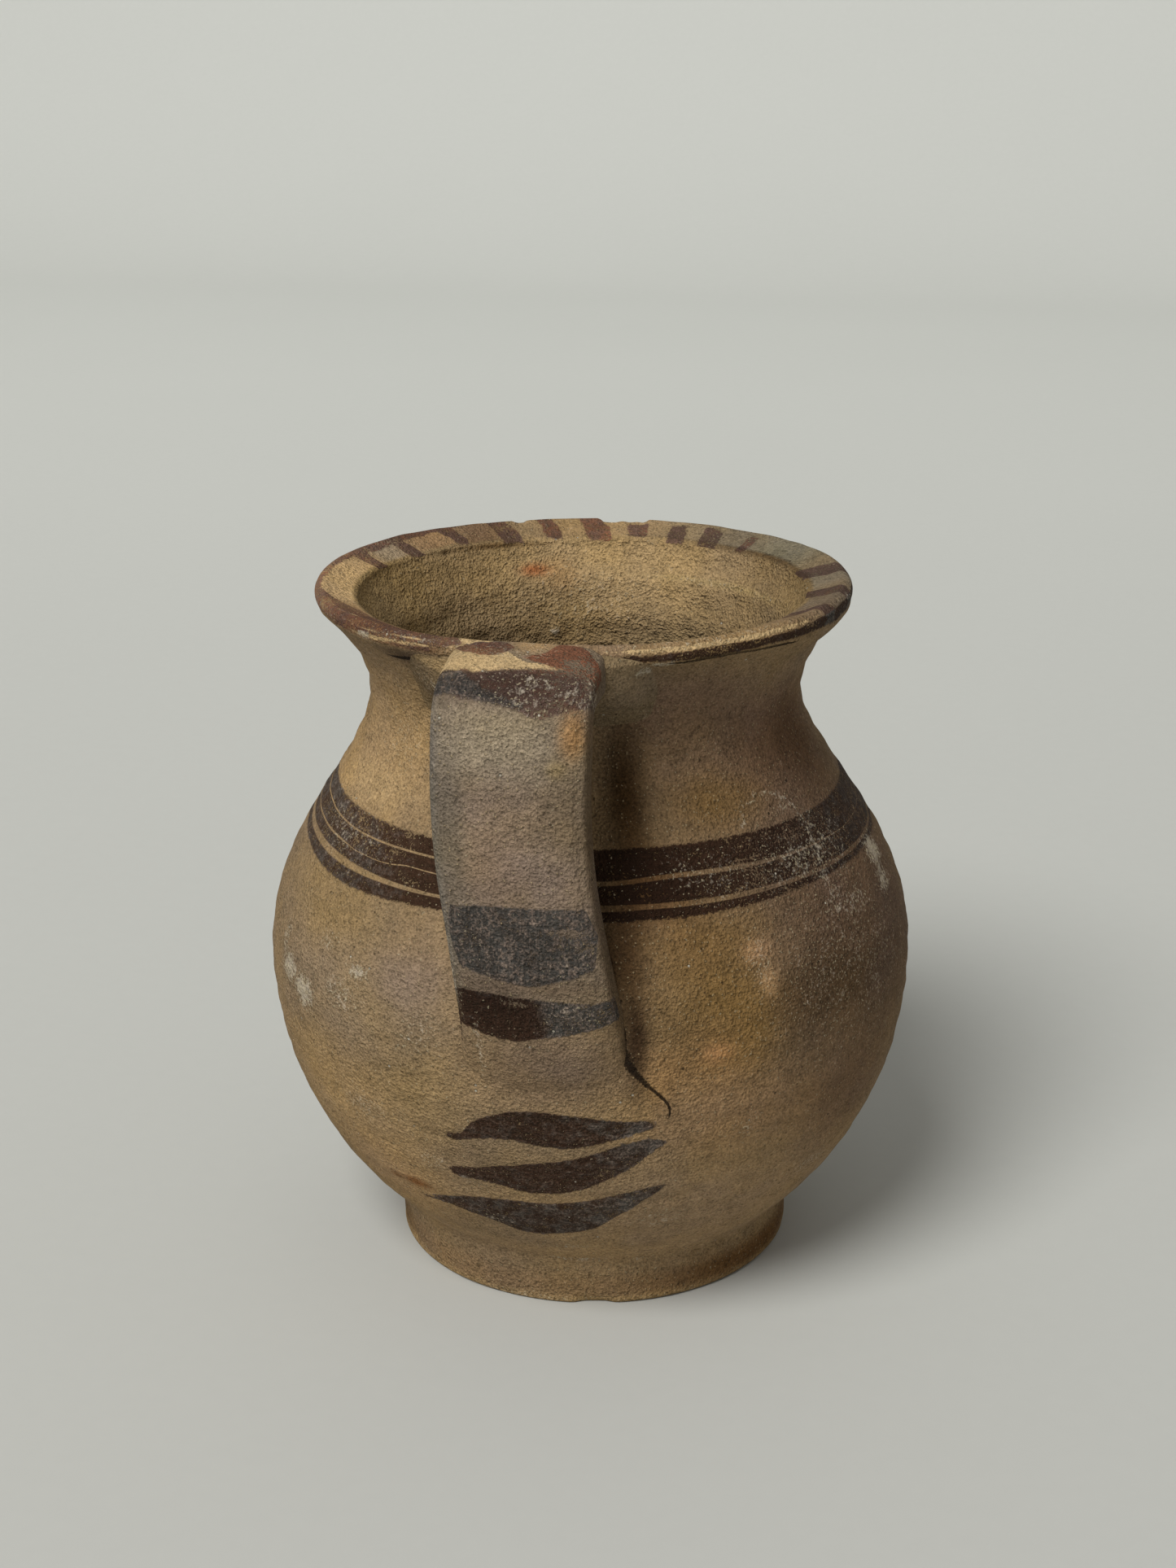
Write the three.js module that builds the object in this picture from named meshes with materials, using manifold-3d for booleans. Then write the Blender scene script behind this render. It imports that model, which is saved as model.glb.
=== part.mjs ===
// A small wheel-thrown clay jug with one strap handle, in millimetres, +Z up, standing on the ground.
// The handle stands on the -Y side, and the whole pot leans a little towards -X.
// Its pieces are the thrown vessel, the foot ring, the strap handle and two pads of luting clay that
// hold the handle's ends. Each piece keeps a hairline gap to the one that carries it.
import * as THREE from "three";
import { mergeVertices } from "three/addons/utils/BufferGeometryUtils.js";
import Module from "manifold-3d";

// Driving dimensions of the thrown vessel
const jugHeight = 125;
const lean = 1.8; // how far the lip's middle stands off the foot's middle
const bellyRadius = 58.4;
const bellyHeight = 57.5; // height of the widest place
const bellyDepth = 61.6; // half height of the ellipse that the lower belly follows
const undersideHeight = 6.5; // height of the flat underside inside the foot ring
const shoulderLag = 1.25; // above 1, the shoulder stays full before it falls to the neck
const neckRadius = 38.5;
const neckHeight = 106; // height of the narrowest place
const wall = 4.8;
const floorThickness = 6.5;

// Driving dimensions of the flared lip
const rimRadius = 47.4;
const lipEdge = 3.2; // height of the lip's outer edge
const lipWidth = 7.1; // width of the lip's sloping top
const lipFall = 2; // how far the lip's top slopes down to its inner corner
const edgeRounding = 1.6;
const lipUndercut = edgeRounding / 3; // how far the edge's lower end lies inside its outermost place
const edgeTurn = [-25, 90]; // degrees that the edge's rounding runs through
const innerRounding = 1;
const innerTurn = [105, 180]; // degrees that the inner corner's rounding runs through

// Driving dimensions of the foot ring
const footTopRadius = 36.8;
const footBottomRadius = 36.4;
const footInnerRadius = 27;
const footRounding = 1;

// Driving dimensions of the strap handle
const strapStandOff = 3.6; // how far the strap's outer face stands beyond the belly's widest place
const strapWidth = 25.2;
const strapThickness = 8;
const strapFlare = 3; // extra width at the strap's two ends
const flarePower = 3; // above 1, the extra width keeps to the very ends
const sectionPower = 0.6; // below 1, the strap's section is squarer than an ellipse
const strapDrop = 0.9; // how far the strap's top lies below the lip
const rootDip = 1; // how far the strap's root in the lip lies below its top
const bendHeight = 13; // height over which the strap turns from level to upright
const bendEase = 1.3; // how far the middle line keeps inside the bend's square corner
const landingHeight = 52; // height at which the strap lands on the belly
const landingRise = 17; // height over which the strap turns in towards the belly
const landingStep = 4.25; // half the height between the strap's last two turning places
const landingDepth = 2; // how far the strap's middle line lies inside the belly where it lands
const landingDrift = 4.8; // how far the strap's lower end drifts towards +X

// Driving dimensions of the luting clay
const rimPadSpread = 24; // half width of the pad under the lip
const rimPadReach = 49.6; // from the vessel's axis to the pad's outermost point
const rimPadDrop = 11; // height of the pad under the lip
const bellyPadSpread = 18; // radius of the pad on the belly
const bellyPadRise = 1.5; // how far the pad stands off the belly

const gap = 0.3; // hairline between pieces that rest on each other
const samePlace = 1e-4; // corners closer than this are one corner

// Numbers of facets
const turnSteps = 64;
const profileSteps = 9;
const cornerSteps = 2;
const strapSteps = 30;
const sectionSteps = 24;
const padSteps = 32;

const wasm = await Module();
wasm.setup();

// A geometry whose shared corners are merged and whose collapsed triangles are left out.
function merged(geometry) {
  const bare = geometry.clone();
  bare.deleteAttribute("normal");
  bare.deleteAttribute("uv");
  const joined = mergeVertices(bare, samePlace);
  const index = joined.getIndex().array;
  const kept = [];
  for (let i = 0; i < index.length; i += 3) {
    const [a, b, c] = index.slice(i, i + 3);
    if (a !== b && b !== c && c !== a) kept.push(a, b, c);
  }
  joined.setIndex(kept);
  return joined;
}

function toSolid(geometry) {
  const closed = merged(geometry);
  return new wasm.Manifold(
    new wasm.Mesh({
      numProp: 3,
      vertProperties: new Float32Array(closed.getAttribute("position").array),
      triVerts: new Uint32Array(closed.getIndex().array),
    }),
  );
}

// The geometry of a cut solid's main body, without the crumbs that feather edges leave.
function toGeometry(solid) {
  const bodies = solid.decompose();
  const main = bodies.reduce((best, body) => (body.volume() > best.volume() ? body : best));
  const mesh = main.getMesh();
  const geometry = new THREE.BufferGeometry();
  geometry.setAttribute("position", new THREE.BufferAttribute(mesh.vertProperties, 3));
  geometry.setIndex(new THREE.BufferAttribute(mesh.triVerts, 1));
  return geometry;
}

// The solid that a profile of (radius, height) points sweeps as it turns round the vessel's axis.
function turned(profile) {
  const geometry = new THREE.LatheGeometry(profile, turnSteps);
  geometry.rotateX(Math.PI / 2);
  return geometry;
}

// Radius of the outer face: an ellipse up to the widest place, an eased shoulder up to the neck,
// then a flare that ends at the lip's lower edge.
function outerRadius(height) {
  if (height <= bellyHeight) {
    return bellyRadius * Math.sqrt(1 - ((bellyHeight - height) / bellyDepth) ** 2);
  }
  if (height <= neckHeight) {
    return bellyRadius - (bellyRadius - neckRadius) * shoulderShare(height);
  }
  const share = (height - neckHeight) / (jugHeight - lipEdge - neckHeight);
  return neckRadius + (rimRadius - lipUndercut - neckRadius) * share ** 2;
}

// Radius of the inner face, which follows the outer one at the wall's thickness.
function innerRadius(height) {
  const floorHeight = undersideHeight + floorThickness;
  const innerBelly = bellyRadius - wall;
  const innerNeck = neckRadius - wall;
  if (height <= bellyHeight) {
    const depth = (bellyDepth * (bellyHeight - floorHeight)) / (bellyHeight - undersideHeight);
    return innerBelly * Math.sqrt(1 - ((bellyHeight - height) / depth) ** 2);
  }
  if (height <= neckHeight) {
    return innerBelly - (innerBelly - innerNeck) * shoulderShare(height);
  }
  const share = (height - neckHeight) / (jugHeight - lipFall - innerRounding - neckHeight);
  return innerNeck + (rimRadius - lipWidth - innerNeck) * share ** 2;
}

// From 0 at the widest place to 1 at the neck.
function shoulderShare(height) {
  const along = (height - bellyHeight) / (neckHeight - bellyHeight);
  return THREE.MathUtils.smoothstep(along ** shoulderLag, 0, 1);
}

// Points of a face between two heights, closer together where the face turns faster.
function face(radiusAt, from, to) {
  const points = [];
  for (let i = 0; i <= profileSteps; i += 1) {
    const height = THREE.MathUtils.lerp(from, to, (1 - Math.cos((Math.PI * i) / profileSteps)) / 2);
    points.push(new THREE.Vector2(radiusAt(height), height));
  }
  return points;
}

// Points of a round corner, from one angle to another in degrees.
function corner(radius, height, rounding, from, to) {
  const points = [];
  for (let i = 0; i <= cornerSteps; i += 1) {
    const angle = THREE.MathUtils.degToRad(THREE.MathUtils.lerp(from, to, i / cornerSteps));
    points.push(
      new THREE.Vector2(radius + rounding * Math.cos(angle), height + rounding * Math.sin(angle)),
    );
  }
  return points;
}

// The outer face from the underside up to the lip's rounded outer edge.
function outerProfile() {
  const lipUnder = jugHeight - lipEdge;
  return [
    ...face(outerRadius, undersideHeight, bellyHeight),
    ...face(outerRadius, bellyHeight, neckHeight).slice(1),
    ...face(outerRadius, neckHeight, lipUnder).slice(1, -1),
    ...corner(rimRadius - edgeRounding, jugHeight - edgeRounding, edgeRounding, ...edgeTurn),
  ];
}

// The lip's inner corner and the inner face down to the floor.
function innerProfile() {
  const floorHeight = undersideHeight + floorThickness;
  const cornerRadius = rimRadius - lipWidth + innerRounding;
  const cornerHeight = jugHeight - lipFall - innerRounding;
  return [
    ...corner(cornerRadius, cornerHeight, innerRounding, ...innerTurn),
    ...face(innerRadius, cornerHeight, neckHeight).slice(1),
    ...face(innerRadius, neckHeight, bellyHeight).slice(1),
    ...face(innerRadius, bellyHeight, floorHeight).slice(1),
  ];
}

// The outer profile moved outwards by a distance, square to itself.
function grownProfile(distance) {
  const points = outerProfile();
  return points.map((point, i) => {
    const before = points[Math.max(i - 1, 0)];
    const after = points[Math.min(i + 1, points.length - 1)];
    const along = after.clone().sub(before).normalize();
    return new THREE.Vector2(point.x + along.y * distance, point.y - along.x * distance);
  });
}

// The thrown vessel: belly, shoulder, neck and lip round one hollow that is open at the mouth.
function vesselBody() {
  return turned([
    new THREE.Vector2(0, undersideHeight),
    ...outerProfile(),
    ...innerProfile(),
    new THREE.Vector2(0, undersideHeight + floorThickness),
  ]);
}

// The room that the vessel takes, filled and grown by the hairline gap, for cutting its neighbours.
function vesselRoom() {
  const profile = grownProfile(gap);
  return toSolid(
    turned([
      new THREE.Vector2(0, undersideHeight - gap),
      ...profile,
      new THREE.Vector2(0, profile[profile.length - 1].y),
    ]),
  );
}

// The foot ring: a coil of clay with a flat resting face, whose top follows the belly's underside.
function footRing() {
  const seat = grownProfile(gap).filter((point) => point.x < footTopRadius && point.y < bellyHeight);
  const share = Math.sqrt(1 - (footTopRadius / bellyRadius) ** 2);
  const seatEdge = new THREE.Vector2(footTopRadius, bellyHeight - bellyDepth * share - gap);
  const seatHeight = undersideHeight - gap;
  const profile = [
    ...corner(footInnerRadius + footRounding, footRounding, footRounding, 180, 270),
    ...corner(footBottomRadius - footRounding, footRounding, footRounding, 270, 360),
    seatEdge,
    ...seat.reverse().slice(0, -1),
    new THREE.Vector2(outerRadius(undersideHeight), seatHeight),
    new THREE.Vector2(footInnerRadius, seatHeight),
  ];
  return turned([...profile, profile[0].clone()]);
}

// The middle line of the strap: level under the lip, round the bend, upright, and in to the belly.
// Its places are a distance from the vessel's axis and a height.
function strapLine() {
  const out = bellyRadius + strapStandOff - strapThickness / 2;
  const top = jugHeight - strapDrop - strapThickness / 2;
  const landing = outerRadius(landingHeight);
  const places = [
    [neckRadius - wall / 2, top - rootDip],
    [(neckRadius + rimRadius) / 2, top],
    [(rimRadius + out) / 2, top - bendEase],
    [out - bendEase, top - bendHeight / 2],
    [out, top - bendHeight],
    [out, landingHeight + landingRise],
    [landing - landingDepth, landingHeight + landingStep],
    [landing - strapThickness, landingHeight - landingStep],
  ];
  const points = places.map(([radius, height]) => new THREE.Vector3(0, -radius, height));
  return new THREE.CatmullRomCurve3(points, false, "centripetal");
}

// How far the strap's middle stands towards +X at a height.
function strapDrift(height) {
  return landingDrift * (1 - THREE.MathUtils.smoothstep(height, landingHeight, neckHeight));
}

// A closed solid through rings that have the same number of points, with a flat cap at either end.
function loft(rings) {
  const count = rings[0].length;
  const positions = rings.flat().flatMap((point) => point.toArray());
  const index = [];
  for (let r = 0; r + 1 < rings.length; r += 1) {
    for (let i = 0; i < count; i += 1) {
      const a = r * count + i;
      const b = r * count + ((i + 1) % count);
      index.push(a, b + count, b, a, a + count, b + count);
    }
  }
  const last = (rings.length - 1) * count;
  for (let i = 1; i + 1 < count; i += 1) {
    index.push(0, i, i + 1, last, last + i + 1, last + i);
  }
  const geometry = new THREE.BufferGeometry();
  geometry.setAttribute("position", new THREE.Float32BufferAttribute(positions, 3));
  geometry.setIndex(index);
  return geometry;
}

// The strap handle: a flat section with rounded edges, carried along the strap's middle line.
function strapHandle(room, rimPadRoom, bellyPadRoom) {
  const line = strapLine();
  const rings = [];
  for (let step = 0; step <= strapSteps; step += 1) {
    const share = step / strapSteps;
    const place = line.getPointAt(share);
    const along = line.getTangentAt(share);
    const outwards = new THREE.Vector3(0, -along.z, along.y);
    const halfWidth = (strapWidth + strapFlare * Math.abs(2 * share - 1) ** flarePower) / 2;
    const ring = [];
    for (let i = 0; i < sectionSteps; i += 1) {
      const angle = (2 * Math.PI * i) / sectionSteps;
      const across = Math.sign(Math.cos(angle)) * Math.abs(Math.cos(angle)) ** sectionPower;
      const through = Math.sign(Math.sin(angle)) * Math.abs(Math.sin(angle)) ** sectionPower;
      const point = place.clone().addScaledVector(outwards, (through * strapThickness) / 2);
      point.x = strapDrift(place.z) + across * halfWidth;
      ring.push(point);
    }
    rings.push(ring);
  }
  return toGeometry(toSolid(loft(rings)).subtract(room).subtract(rimPadRoom).subtract(bellyPadRoom));
}

// A ball pressed out of round, grown by a distance on every side.
function padSolid(middle, halfSizes, grown) {
  const geometry = new THREE.SphereGeometry(1, padSteps, padSteps / 2);
  geometry.scale(halfSizes.x + grown, halfSizes.y + grown, halfSizes.z + grown);
  geometry.translate(middle.x, middle.y, middle.z);
  return toSolid(geometry);
}

// The pad of luting clay in the hollow under the lip, which carries the strap's upper end.
function rimPad(grown) {
  const height = jugHeight - strapDrop - rimPadDrop / 2;
  const middle = new THREE.Vector3(strapDrift(jugHeight), -(neckRadius + wall / 2), height);
  const reach = rimPadReach + middle.y;
  return padSolid(middle, new THREE.Vector3(rimPadSpread, reach, rimPadDrop / 2), grown);
}

// The low round pad of luting clay smeared over the belly, which carries the strap's lower end.
function bellyPad(grown) {
  const bellyBend = 1 / bellyRadius;
  const padBend = bellyBend + (2 * bellyPadRise) / bellyPadSpread ** 2;
  const ball = 1 / padBend;
  const landingRadius = outerRadius(landingHeight);
  const turn = Math.asin(strapDrift(landingHeight) / landingRadius);
  const reach = landingRadius + bellyPadRise - ball;
  const middle = new THREE.Vector3(reach * Math.sin(turn), -reach * Math.cos(turn), landingHeight);
  return padSolid(middle, new THREE.Vector3(ball, ball, ball), grown);
}

// Fired clay: the buff of the vessel, the greyer strap and the paler smeared clay.
const buffClay = new THREE.MeshStandardMaterial({ color: 0x9a8460, roughness: 0.9, metalness: 0 });
const footClay = new THREE.MeshStandardMaterial({ color: 0x8a7350, roughness: 0.9, metalness: 0 });
const greyClay = new THREE.MeshStandardMaterial({ color: 0x857a68, roughness: 0.9, metalness: 0 });
const luteClay = new THREE.MeshStandardMaterial({ color: 0xa08e6c, roughness: 0.95, metalness: 0 });

const jug = new THREE.Group();

// Adds one piece, leaning as the whole pot leans.
function addPiece(name, geometry, material) {
  geometry.applyMatrix4(new THREE.Matrix4().makeShear(0, 0, 0, 0, -lean / jugHeight, 0));
  const piece = new THREE.Mesh(geometry, material);
  piece.name = name;
  jug.add(piece);
}

const room = vesselRoom();
addPiece("vessel_body", merged(vesselBody()), buffClay);
addPiece("foot_ring", merged(footRing()), footClay);
addPiece("strap_handle", strapHandle(room, rimPad(gap), bellyPad(gap)), greyClay);
addPiece("rim_lute", toGeometry(rimPad(0).subtract(room)), luteClay);
addPiece("belly_lute", toGeometry(bellyPad(0).subtract(room)), luteClay);

// The origin is the middle of the jug's box, on the ground.
const box = new THREE.Box3().setFromObject(jug);
const middle = box.getCenter(new THREE.Vector3());
jug.position.set(-middle.x, -middle.y, -box.min.z);

export default jug;
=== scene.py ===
"""The looks of a small hand-thrown clay jug with one strap handle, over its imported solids.

Angles round the jug are in degrees from the handle's side, -Y, towards +X. Inside the functions that
work out shapes and inside the materials, lengths are in millimetres; settings and meshes are in metres.
"""

from itertools import product
from types import SimpleNamespace

import bpy
import numpy as np
from bpy.props import FloatProperty, FloatVectorProperty, PointerProperty
from bpy.types import Operator, Panel, PropertyGroup
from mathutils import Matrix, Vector


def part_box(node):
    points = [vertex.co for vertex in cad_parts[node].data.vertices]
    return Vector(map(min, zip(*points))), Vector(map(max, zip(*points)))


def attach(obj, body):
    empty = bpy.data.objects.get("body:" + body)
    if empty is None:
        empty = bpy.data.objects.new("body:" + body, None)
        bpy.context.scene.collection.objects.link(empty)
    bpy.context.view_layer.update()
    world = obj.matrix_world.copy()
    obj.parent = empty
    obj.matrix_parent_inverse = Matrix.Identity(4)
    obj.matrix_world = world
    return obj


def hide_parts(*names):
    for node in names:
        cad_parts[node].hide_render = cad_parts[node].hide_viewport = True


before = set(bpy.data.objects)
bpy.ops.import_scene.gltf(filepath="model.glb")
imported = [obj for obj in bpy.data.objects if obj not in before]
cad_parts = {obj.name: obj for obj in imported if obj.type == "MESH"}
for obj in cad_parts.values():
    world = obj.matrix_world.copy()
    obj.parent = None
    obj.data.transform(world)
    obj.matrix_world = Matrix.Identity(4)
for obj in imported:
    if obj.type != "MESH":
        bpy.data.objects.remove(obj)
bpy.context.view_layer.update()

bl_info = {
    "name": "Painted clay jug",
    "version": (1, 0, 0),
    "blender": (4, 5, 0),
    "location": "View3D > Sidebar > Jug",
    "description": "Builds a small hand-thrown jug with painted bands, and a plain stage for it",
    "category": "Object",
}

MM = 0.001
NO_PAINT = -4.0


def linear(code):
    """The linear colour of a hex code such as "a08060"."""
    shown = np.array([int(code[i:i + 2], 16) for i in (0, 2, 4)]) / 255
    return tuple(np.where(shown <= 0.04045, shown / 12.92, ((shown + 0.055) / 1.055) ** 2.4))


def length(name, default, description):
    """A setting that holds a length; its default is given in millimetres."""
    return FloatProperty(name=name, default=default * MM, description=description, unit="LENGTH")


def tint(name, code, description):
    """A setting that holds a colour."""
    return FloatVectorProperty(
        name=name, default=linear(code), description=description, subtype="COLOR", min=0, max=1
    )


class JugVesselSizes(PropertyGroup):
    """Sizes of the thrown vessel."""

    height: length("Height", 125, "Height of the jug")
    lean: length("Lean", 1.8, "How far the lip's middle stands off the foot's middle")
    belly_radius: length("Belly radius", 58.4, "Radius at the widest place")
    belly_height: length("Belly height", 57.5, "Height of the widest place")
    belly_depth: length("Belly depth", 61.6, "Half height of the ellipse of the lower belly")
    underside: length("Underside", 6.5, "Height of the flat underside inside the foot ring")
    shoulder_lag: FloatProperty(
        name="Shoulder lag", default=1.25, min=1, description="Above 1, the shoulder stays full for longer"
    )
    neck_radius: length("Neck radius", 38.5, "Radius at the narrowest place")
    neck_height: length("Neck height", 106, "Height of the narrowest place")
    wall: length("Wall", 4.8, "Thickness of the wall")
    floor: length("Floor", 6.5, "Thickness of the floor")
    rim_radius: length("Lip radius", 47.4, "Radius of the lip's outer edge")
    lip_edge: length("Lip edge", 3.2, "Height of the lip's outer edge")
    lip_width: length("Lip width", 7.1, "Width of the lip's sloping top")
    lip_fall: length("Lip fall", 2, "How far the lip's top slopes down to its inner corner")
    edge_rounding: length("Edge rounding", 1.6, "Rounding of the lip's outer edge")
    inner_rounding: length("Inner rounding", 1, "Rounding of the lip's inner corner")
    unevenness: length("Unevenness", 0.3, "How far the hand-thrown shape strays from a true round")
    ridge: length("Throwing ridges", 0.07, "Height of the ridges that the fingers leave outside")
    inner_ridge: length("Inner ridges", 0.16, "Height of the ridges that the fingers leave inside")


class JugFootSizes(PropertyGroup):
    """Sizes of the foot ring."""

    top_radius: length("Top radius", 36.6, "Radius where the foot's wall meets the belly")
    bottom_radius: length("Bottom radius", 36.4, "Radius of the foot's outer wall at the ground")
    inner_radius: length("Inner radius", 27, "Radius of the hollow under the foot")
    rounding: length("Rounding", 1, "Rounding of the edges that the jug stands on")
    crease: length("Crease height", 8.2, "Height at which the foot's wall bends out to the belly")
    feather: length("Feather height", 11.2, "Height at which the foot's clay ends on the belly")


class JugStrapSizes(PropertyGroup):
    """Sizes of the strap handle."""

    width: length("Width", 25.4, "Width of the strap")
    thickness: length("Thickness", 8, "Thickness of the strap")
    flare: length("Flare", 4, "Extra width where the strap lands on the belly")
    drift: length("Drift", 4.8, "How far the strap's lower end drifts towards +X")
    groove: length("Groove", 0.35, "Depth of the grooves that the fingers leave along the strap's edges")


class JugColours(PropertyGroup):
    """Colours of the clay and of the paint."""

    buff: tint("Buff clay", "8a7457", "Clay of the vessel")
    foot: tint("Foot clay", "836b4e", "Clay of the foot")
    grey: tint("Grey clay", "786959", "Clay of the strap")
    luting: tint("Luting clay", "7c6a50", "Clay smeared round the strap's ends")
    warm_paint: tint("Brown paint", "2e1d14", "Dark paint where it fired brown")
    cool_paint: tint("Blue-black paint", "413f3c", "Dark paint where it fired blue-black")
    red_paint: tint("Red paint", "734834", "Paint that fired red")
    purple_paint: tint("Purple paint", "4b3832", "Red paint where it fired purple-brown")
    slip: tint("Cream slip", "bba076", "Pale slip and worn clay")


class JugStage(PropertyGroup):
    """The floor, the lamps and the camera."""

    paper: tint("Paper", "bcbdb9", "Colour of the floor")
    # The backdrop's colour is lighter than the floor's: painted light on the same paper.
    far_paper: tint("Far paper", "e2e4e0", "Colour of the backdrop")
    key_power: FloatProperty(
        name="Key lamp", default=78, min=0, unit="POWER", description="Power of the large soft lamp"
    )
    sky: FloatProperty(name="Sky", default=0.29, min=0, description="Strength of the even light")
    focal: FloatProperty(
        name="Focal length", default=56.045, min=1, unit="CAMERA", description="Focal length of the camera"
    )


def in_mm(settings):
    """A group's settings under the same names, with lengths in millimetres."""
    found = SimpleNamespace()
    for key in settings.__annotations__:
        is_length = settings.bl_rna.properties[key].unit == "LENGTH"
        setattr(found, key, getattr(settings, key) / (MM if is_length else 1))
    return found


# Curves, noise and other helpers for shapes

def smooth(low, high, x):
    """Smoothstep: 0 up to low, 1 from high on, and 3t^2 - 2t^3 between."""
    t = np.clip((x - low) / (high - low), 0, 1)
    return t * t * (3 - 2 * t)


def eased(x, knots, values):
    """Cubic Hermite curve through values at knots, whose slopes are the values' own differences."""
    knots, values = np.asarray(knots, float), np.asarray(values, float)
    slopes = np.gradient(values, knots)
    i = np.clip(np.searchsorted(knots, x) - 1, 0, len(knots) - 2)
    step = knots[i + 1] - knots[i]
    t = np.clip((x - knots[i]) / step, 0, 1)
    start = (1 + 2 * t) * (1 - t) ** 2 * values[i] + t * (1 - t) ** 2 * step * slopes[i]
    end = t * t * (3 - 2 * t) * values[i + 1] + t * t * (t - 1) * step * slopes[i + 1]
    return start + end


def lumps(places, size, seed):
    """Smooth random bumps from -1 to 1: random values on a lattice of that size, eased between them."""
    count = 32
    table = np.random.default_rng(seed).uniform(-1, 1, (count, count, count))
    scaled = np.asarray(places) / size
    cell = np.floor(scaled).astype(int)
    share = scaled - cell
    share = share * share * (3 - 2 * share)
    total = 0
    for corner in product((0, 1), repeat=3):
        weight = np.prod(np.where(corner, share, 1 - share), axis=-1)
        i, j, k = np.moveaxis((cell + corner) % count, -1, 0)
        total = total + weight * table[i, j, k]
    return total


def along_line(points, stations):
    """Places at the given shares of the length of a line of points."""
    points = np.asarray(points, float)
    steps = np.linalg.norm(np.diff(points, axis=0), axis=1)
    lengths = np.concatenate([[0], np.cumsum(steps)])
    return np.stack([np.interp(stations * lengths[-1], lengths, axis) for axis in points.T], axis=-1)


def arc(middle, radius, start, end, count):
    """Points of a circular arc between two angles in degrees."""
    angle = np.radians(np.linspace(start, end, count))
    return np.stack([middle[0] + radius * np.cos(angle), middle[1] + radius * np.sin(angle)], axis=-1)


def turn_between(theta, middle):
    """Signed angle from middle to theta, the short way round."""
    return (theta - middle + 180) % 360 - 180


def mm_round(theta, middle, r):
    """Signed millimetres round the jug, at radius r, from the angle middle to theta."""
    return np.radians(turn_between(theta, middle)) * r


def bump(*offsets):
    """1 in the middle, falling off as exp(-x^2 - y^2)."""
    return np.exp(-sum(offset ** 2 for offset in offsets))


def oblong(angle, power):
    """A rounded oblong, |x|^n + |y|^n = 1 with n = 2 / power, at angles in radians."""
    across, up = np.cos(angle), np.sin(angle)
    return np.sign(across) * np.abs(across) ** power, np.sign(up) * np.abs(up) ** power


def turned_places(theta, r, z):
    """Places at an angle in degrees, a radius and a height."""
    turn = np.radians(theta)
    return np.stack([r * np.sin(turn), -r * np.cos(turn), z + 0 * turn + 0 * r], axis=-1)


def turned(profile, columns):
    """A profile of (radius, height) turned round the axis: places, angles, radii and heights."""
    theta = np.linspace(-180, 180, columns, endpoint=False)[None, :]
    r, z = profile[:, :1], profile[:, 1:]
    places = turned_places(theta, r, z)
    return places, *(np.broadcast_to(values, places.shape[:2]) for values in (theta, r, z))


def stand(places, size):
    """Leans the jug towards -X, x' = x - lean z / height, and stands it over its foot's middle."""
    low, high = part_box("foot_ring")
    middle_x = (low.x + high.x) / 2 / MM + size.lean * high.z / MM / size.height
    middle_y = (low.y + high.y) / 2 / MM
    x, y, z = np.moveaxis(places, -1, 0)
    return np.stack([x - size.lean * z / size.height + middle_x, y + middle_y, z], axis=-1)


# Paint marks, as signed distances in millimetres that are positive inside the mark

def off_path(first, second, path):
    """Distance to a path of straight pieces, both in millimetres."""
    points = np.array(path, float)
    place = np.stack([first, second], axis=-1)
    nearest = np.full(first.shape, 99.0)
    for start, end in zip(points[:-1], points[1:]):
        run = end - start
        share = np.clip((place - start) @ run / (run @ run), 0, 1)
        nearest = np.minimum(nearest, np.linalg.norm(place - start - share[..., None] * run, axis=-1))
    return nearest


def stroke(along, across, line, scale=1.0):
    """A brush stroke: its half width less the distance across to its middle line.

    line holds (place along, middle across, half width); scale is millimetres per unit along."""
    knots, middle, half = np.array(line, float).T
    away = np.abs(across - eased(along, knots, middle))
    beyond = np.maximum(knots[0] - along, along - knots[-1]) * scale
    return np.where(beyond > 0, -beyond - away / 2, eased(along, knots, half) - away)


def strokes(along, across, lines, scale=1.0):
    """Several brush strokes: the largest of their signed distances."""
    return np.max([stroke(along, across, line, scale) for line in lines], axis=0)


def only(where, mark):
    """A mark in some places, and no paint in the others."""
    return np.where(where, mark, NO_PAINT)


def near(offset_1, offset_2, spread_1, spread_2):
    """1 in the middle of a soft oval mark, falling off as exp(-distance^2.8)."""
    return np.exp(-((offset_1 / spread_1) ** 2 + (offset_2 / spread_2) ** 2) ** 1.4)


def dusted(first, second, marks):
    """How thickly chalky dust lies, from 0 to 1; a mark is (place, place, spread, spread, thickness)."""
    dust = np.zeros(first.shape)
    for middle_1, middle_2, spread_1, spread_2, thickness in marks:
        dust = np.maximum(dust, thickness * near(first - middle_1, second - middle_2, spread_1, spread_2))
    return dust


def spots(first, second, base, marks):
    """Broad colour of the clay: base, blended towards each mark's colour.

    A mark is (place or angle, place, spread, spread, colour code, strength)."""
    colour = np.broadcast_to(np.array(base)[..., :3], first.shape + (3,)).copy()
    for middle_1, middle_2, spread_1, spread_2, code, strength in marks:
        share = strength * near(turn_between(first, middle_1), second - middle_2, spread_1, spread_2)
        colour += (np.array(linear(code)) - colour) * share[..., None]
    return colour


# Meshes

# What each point of a mesh says to its finish, and the value where a piece sets none
FIELDS = {
    "dark": NO_PAINT, "red": NO_PAINT, "slip": NO_PAINT, "cool": 0, "wear": 0.2, "coarse": 0, "chalk": 0,
    "crack": 9, "open": 0, "gap_upper": 9, "gap_hair": 9, "gap_lower": 9,
}


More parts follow.
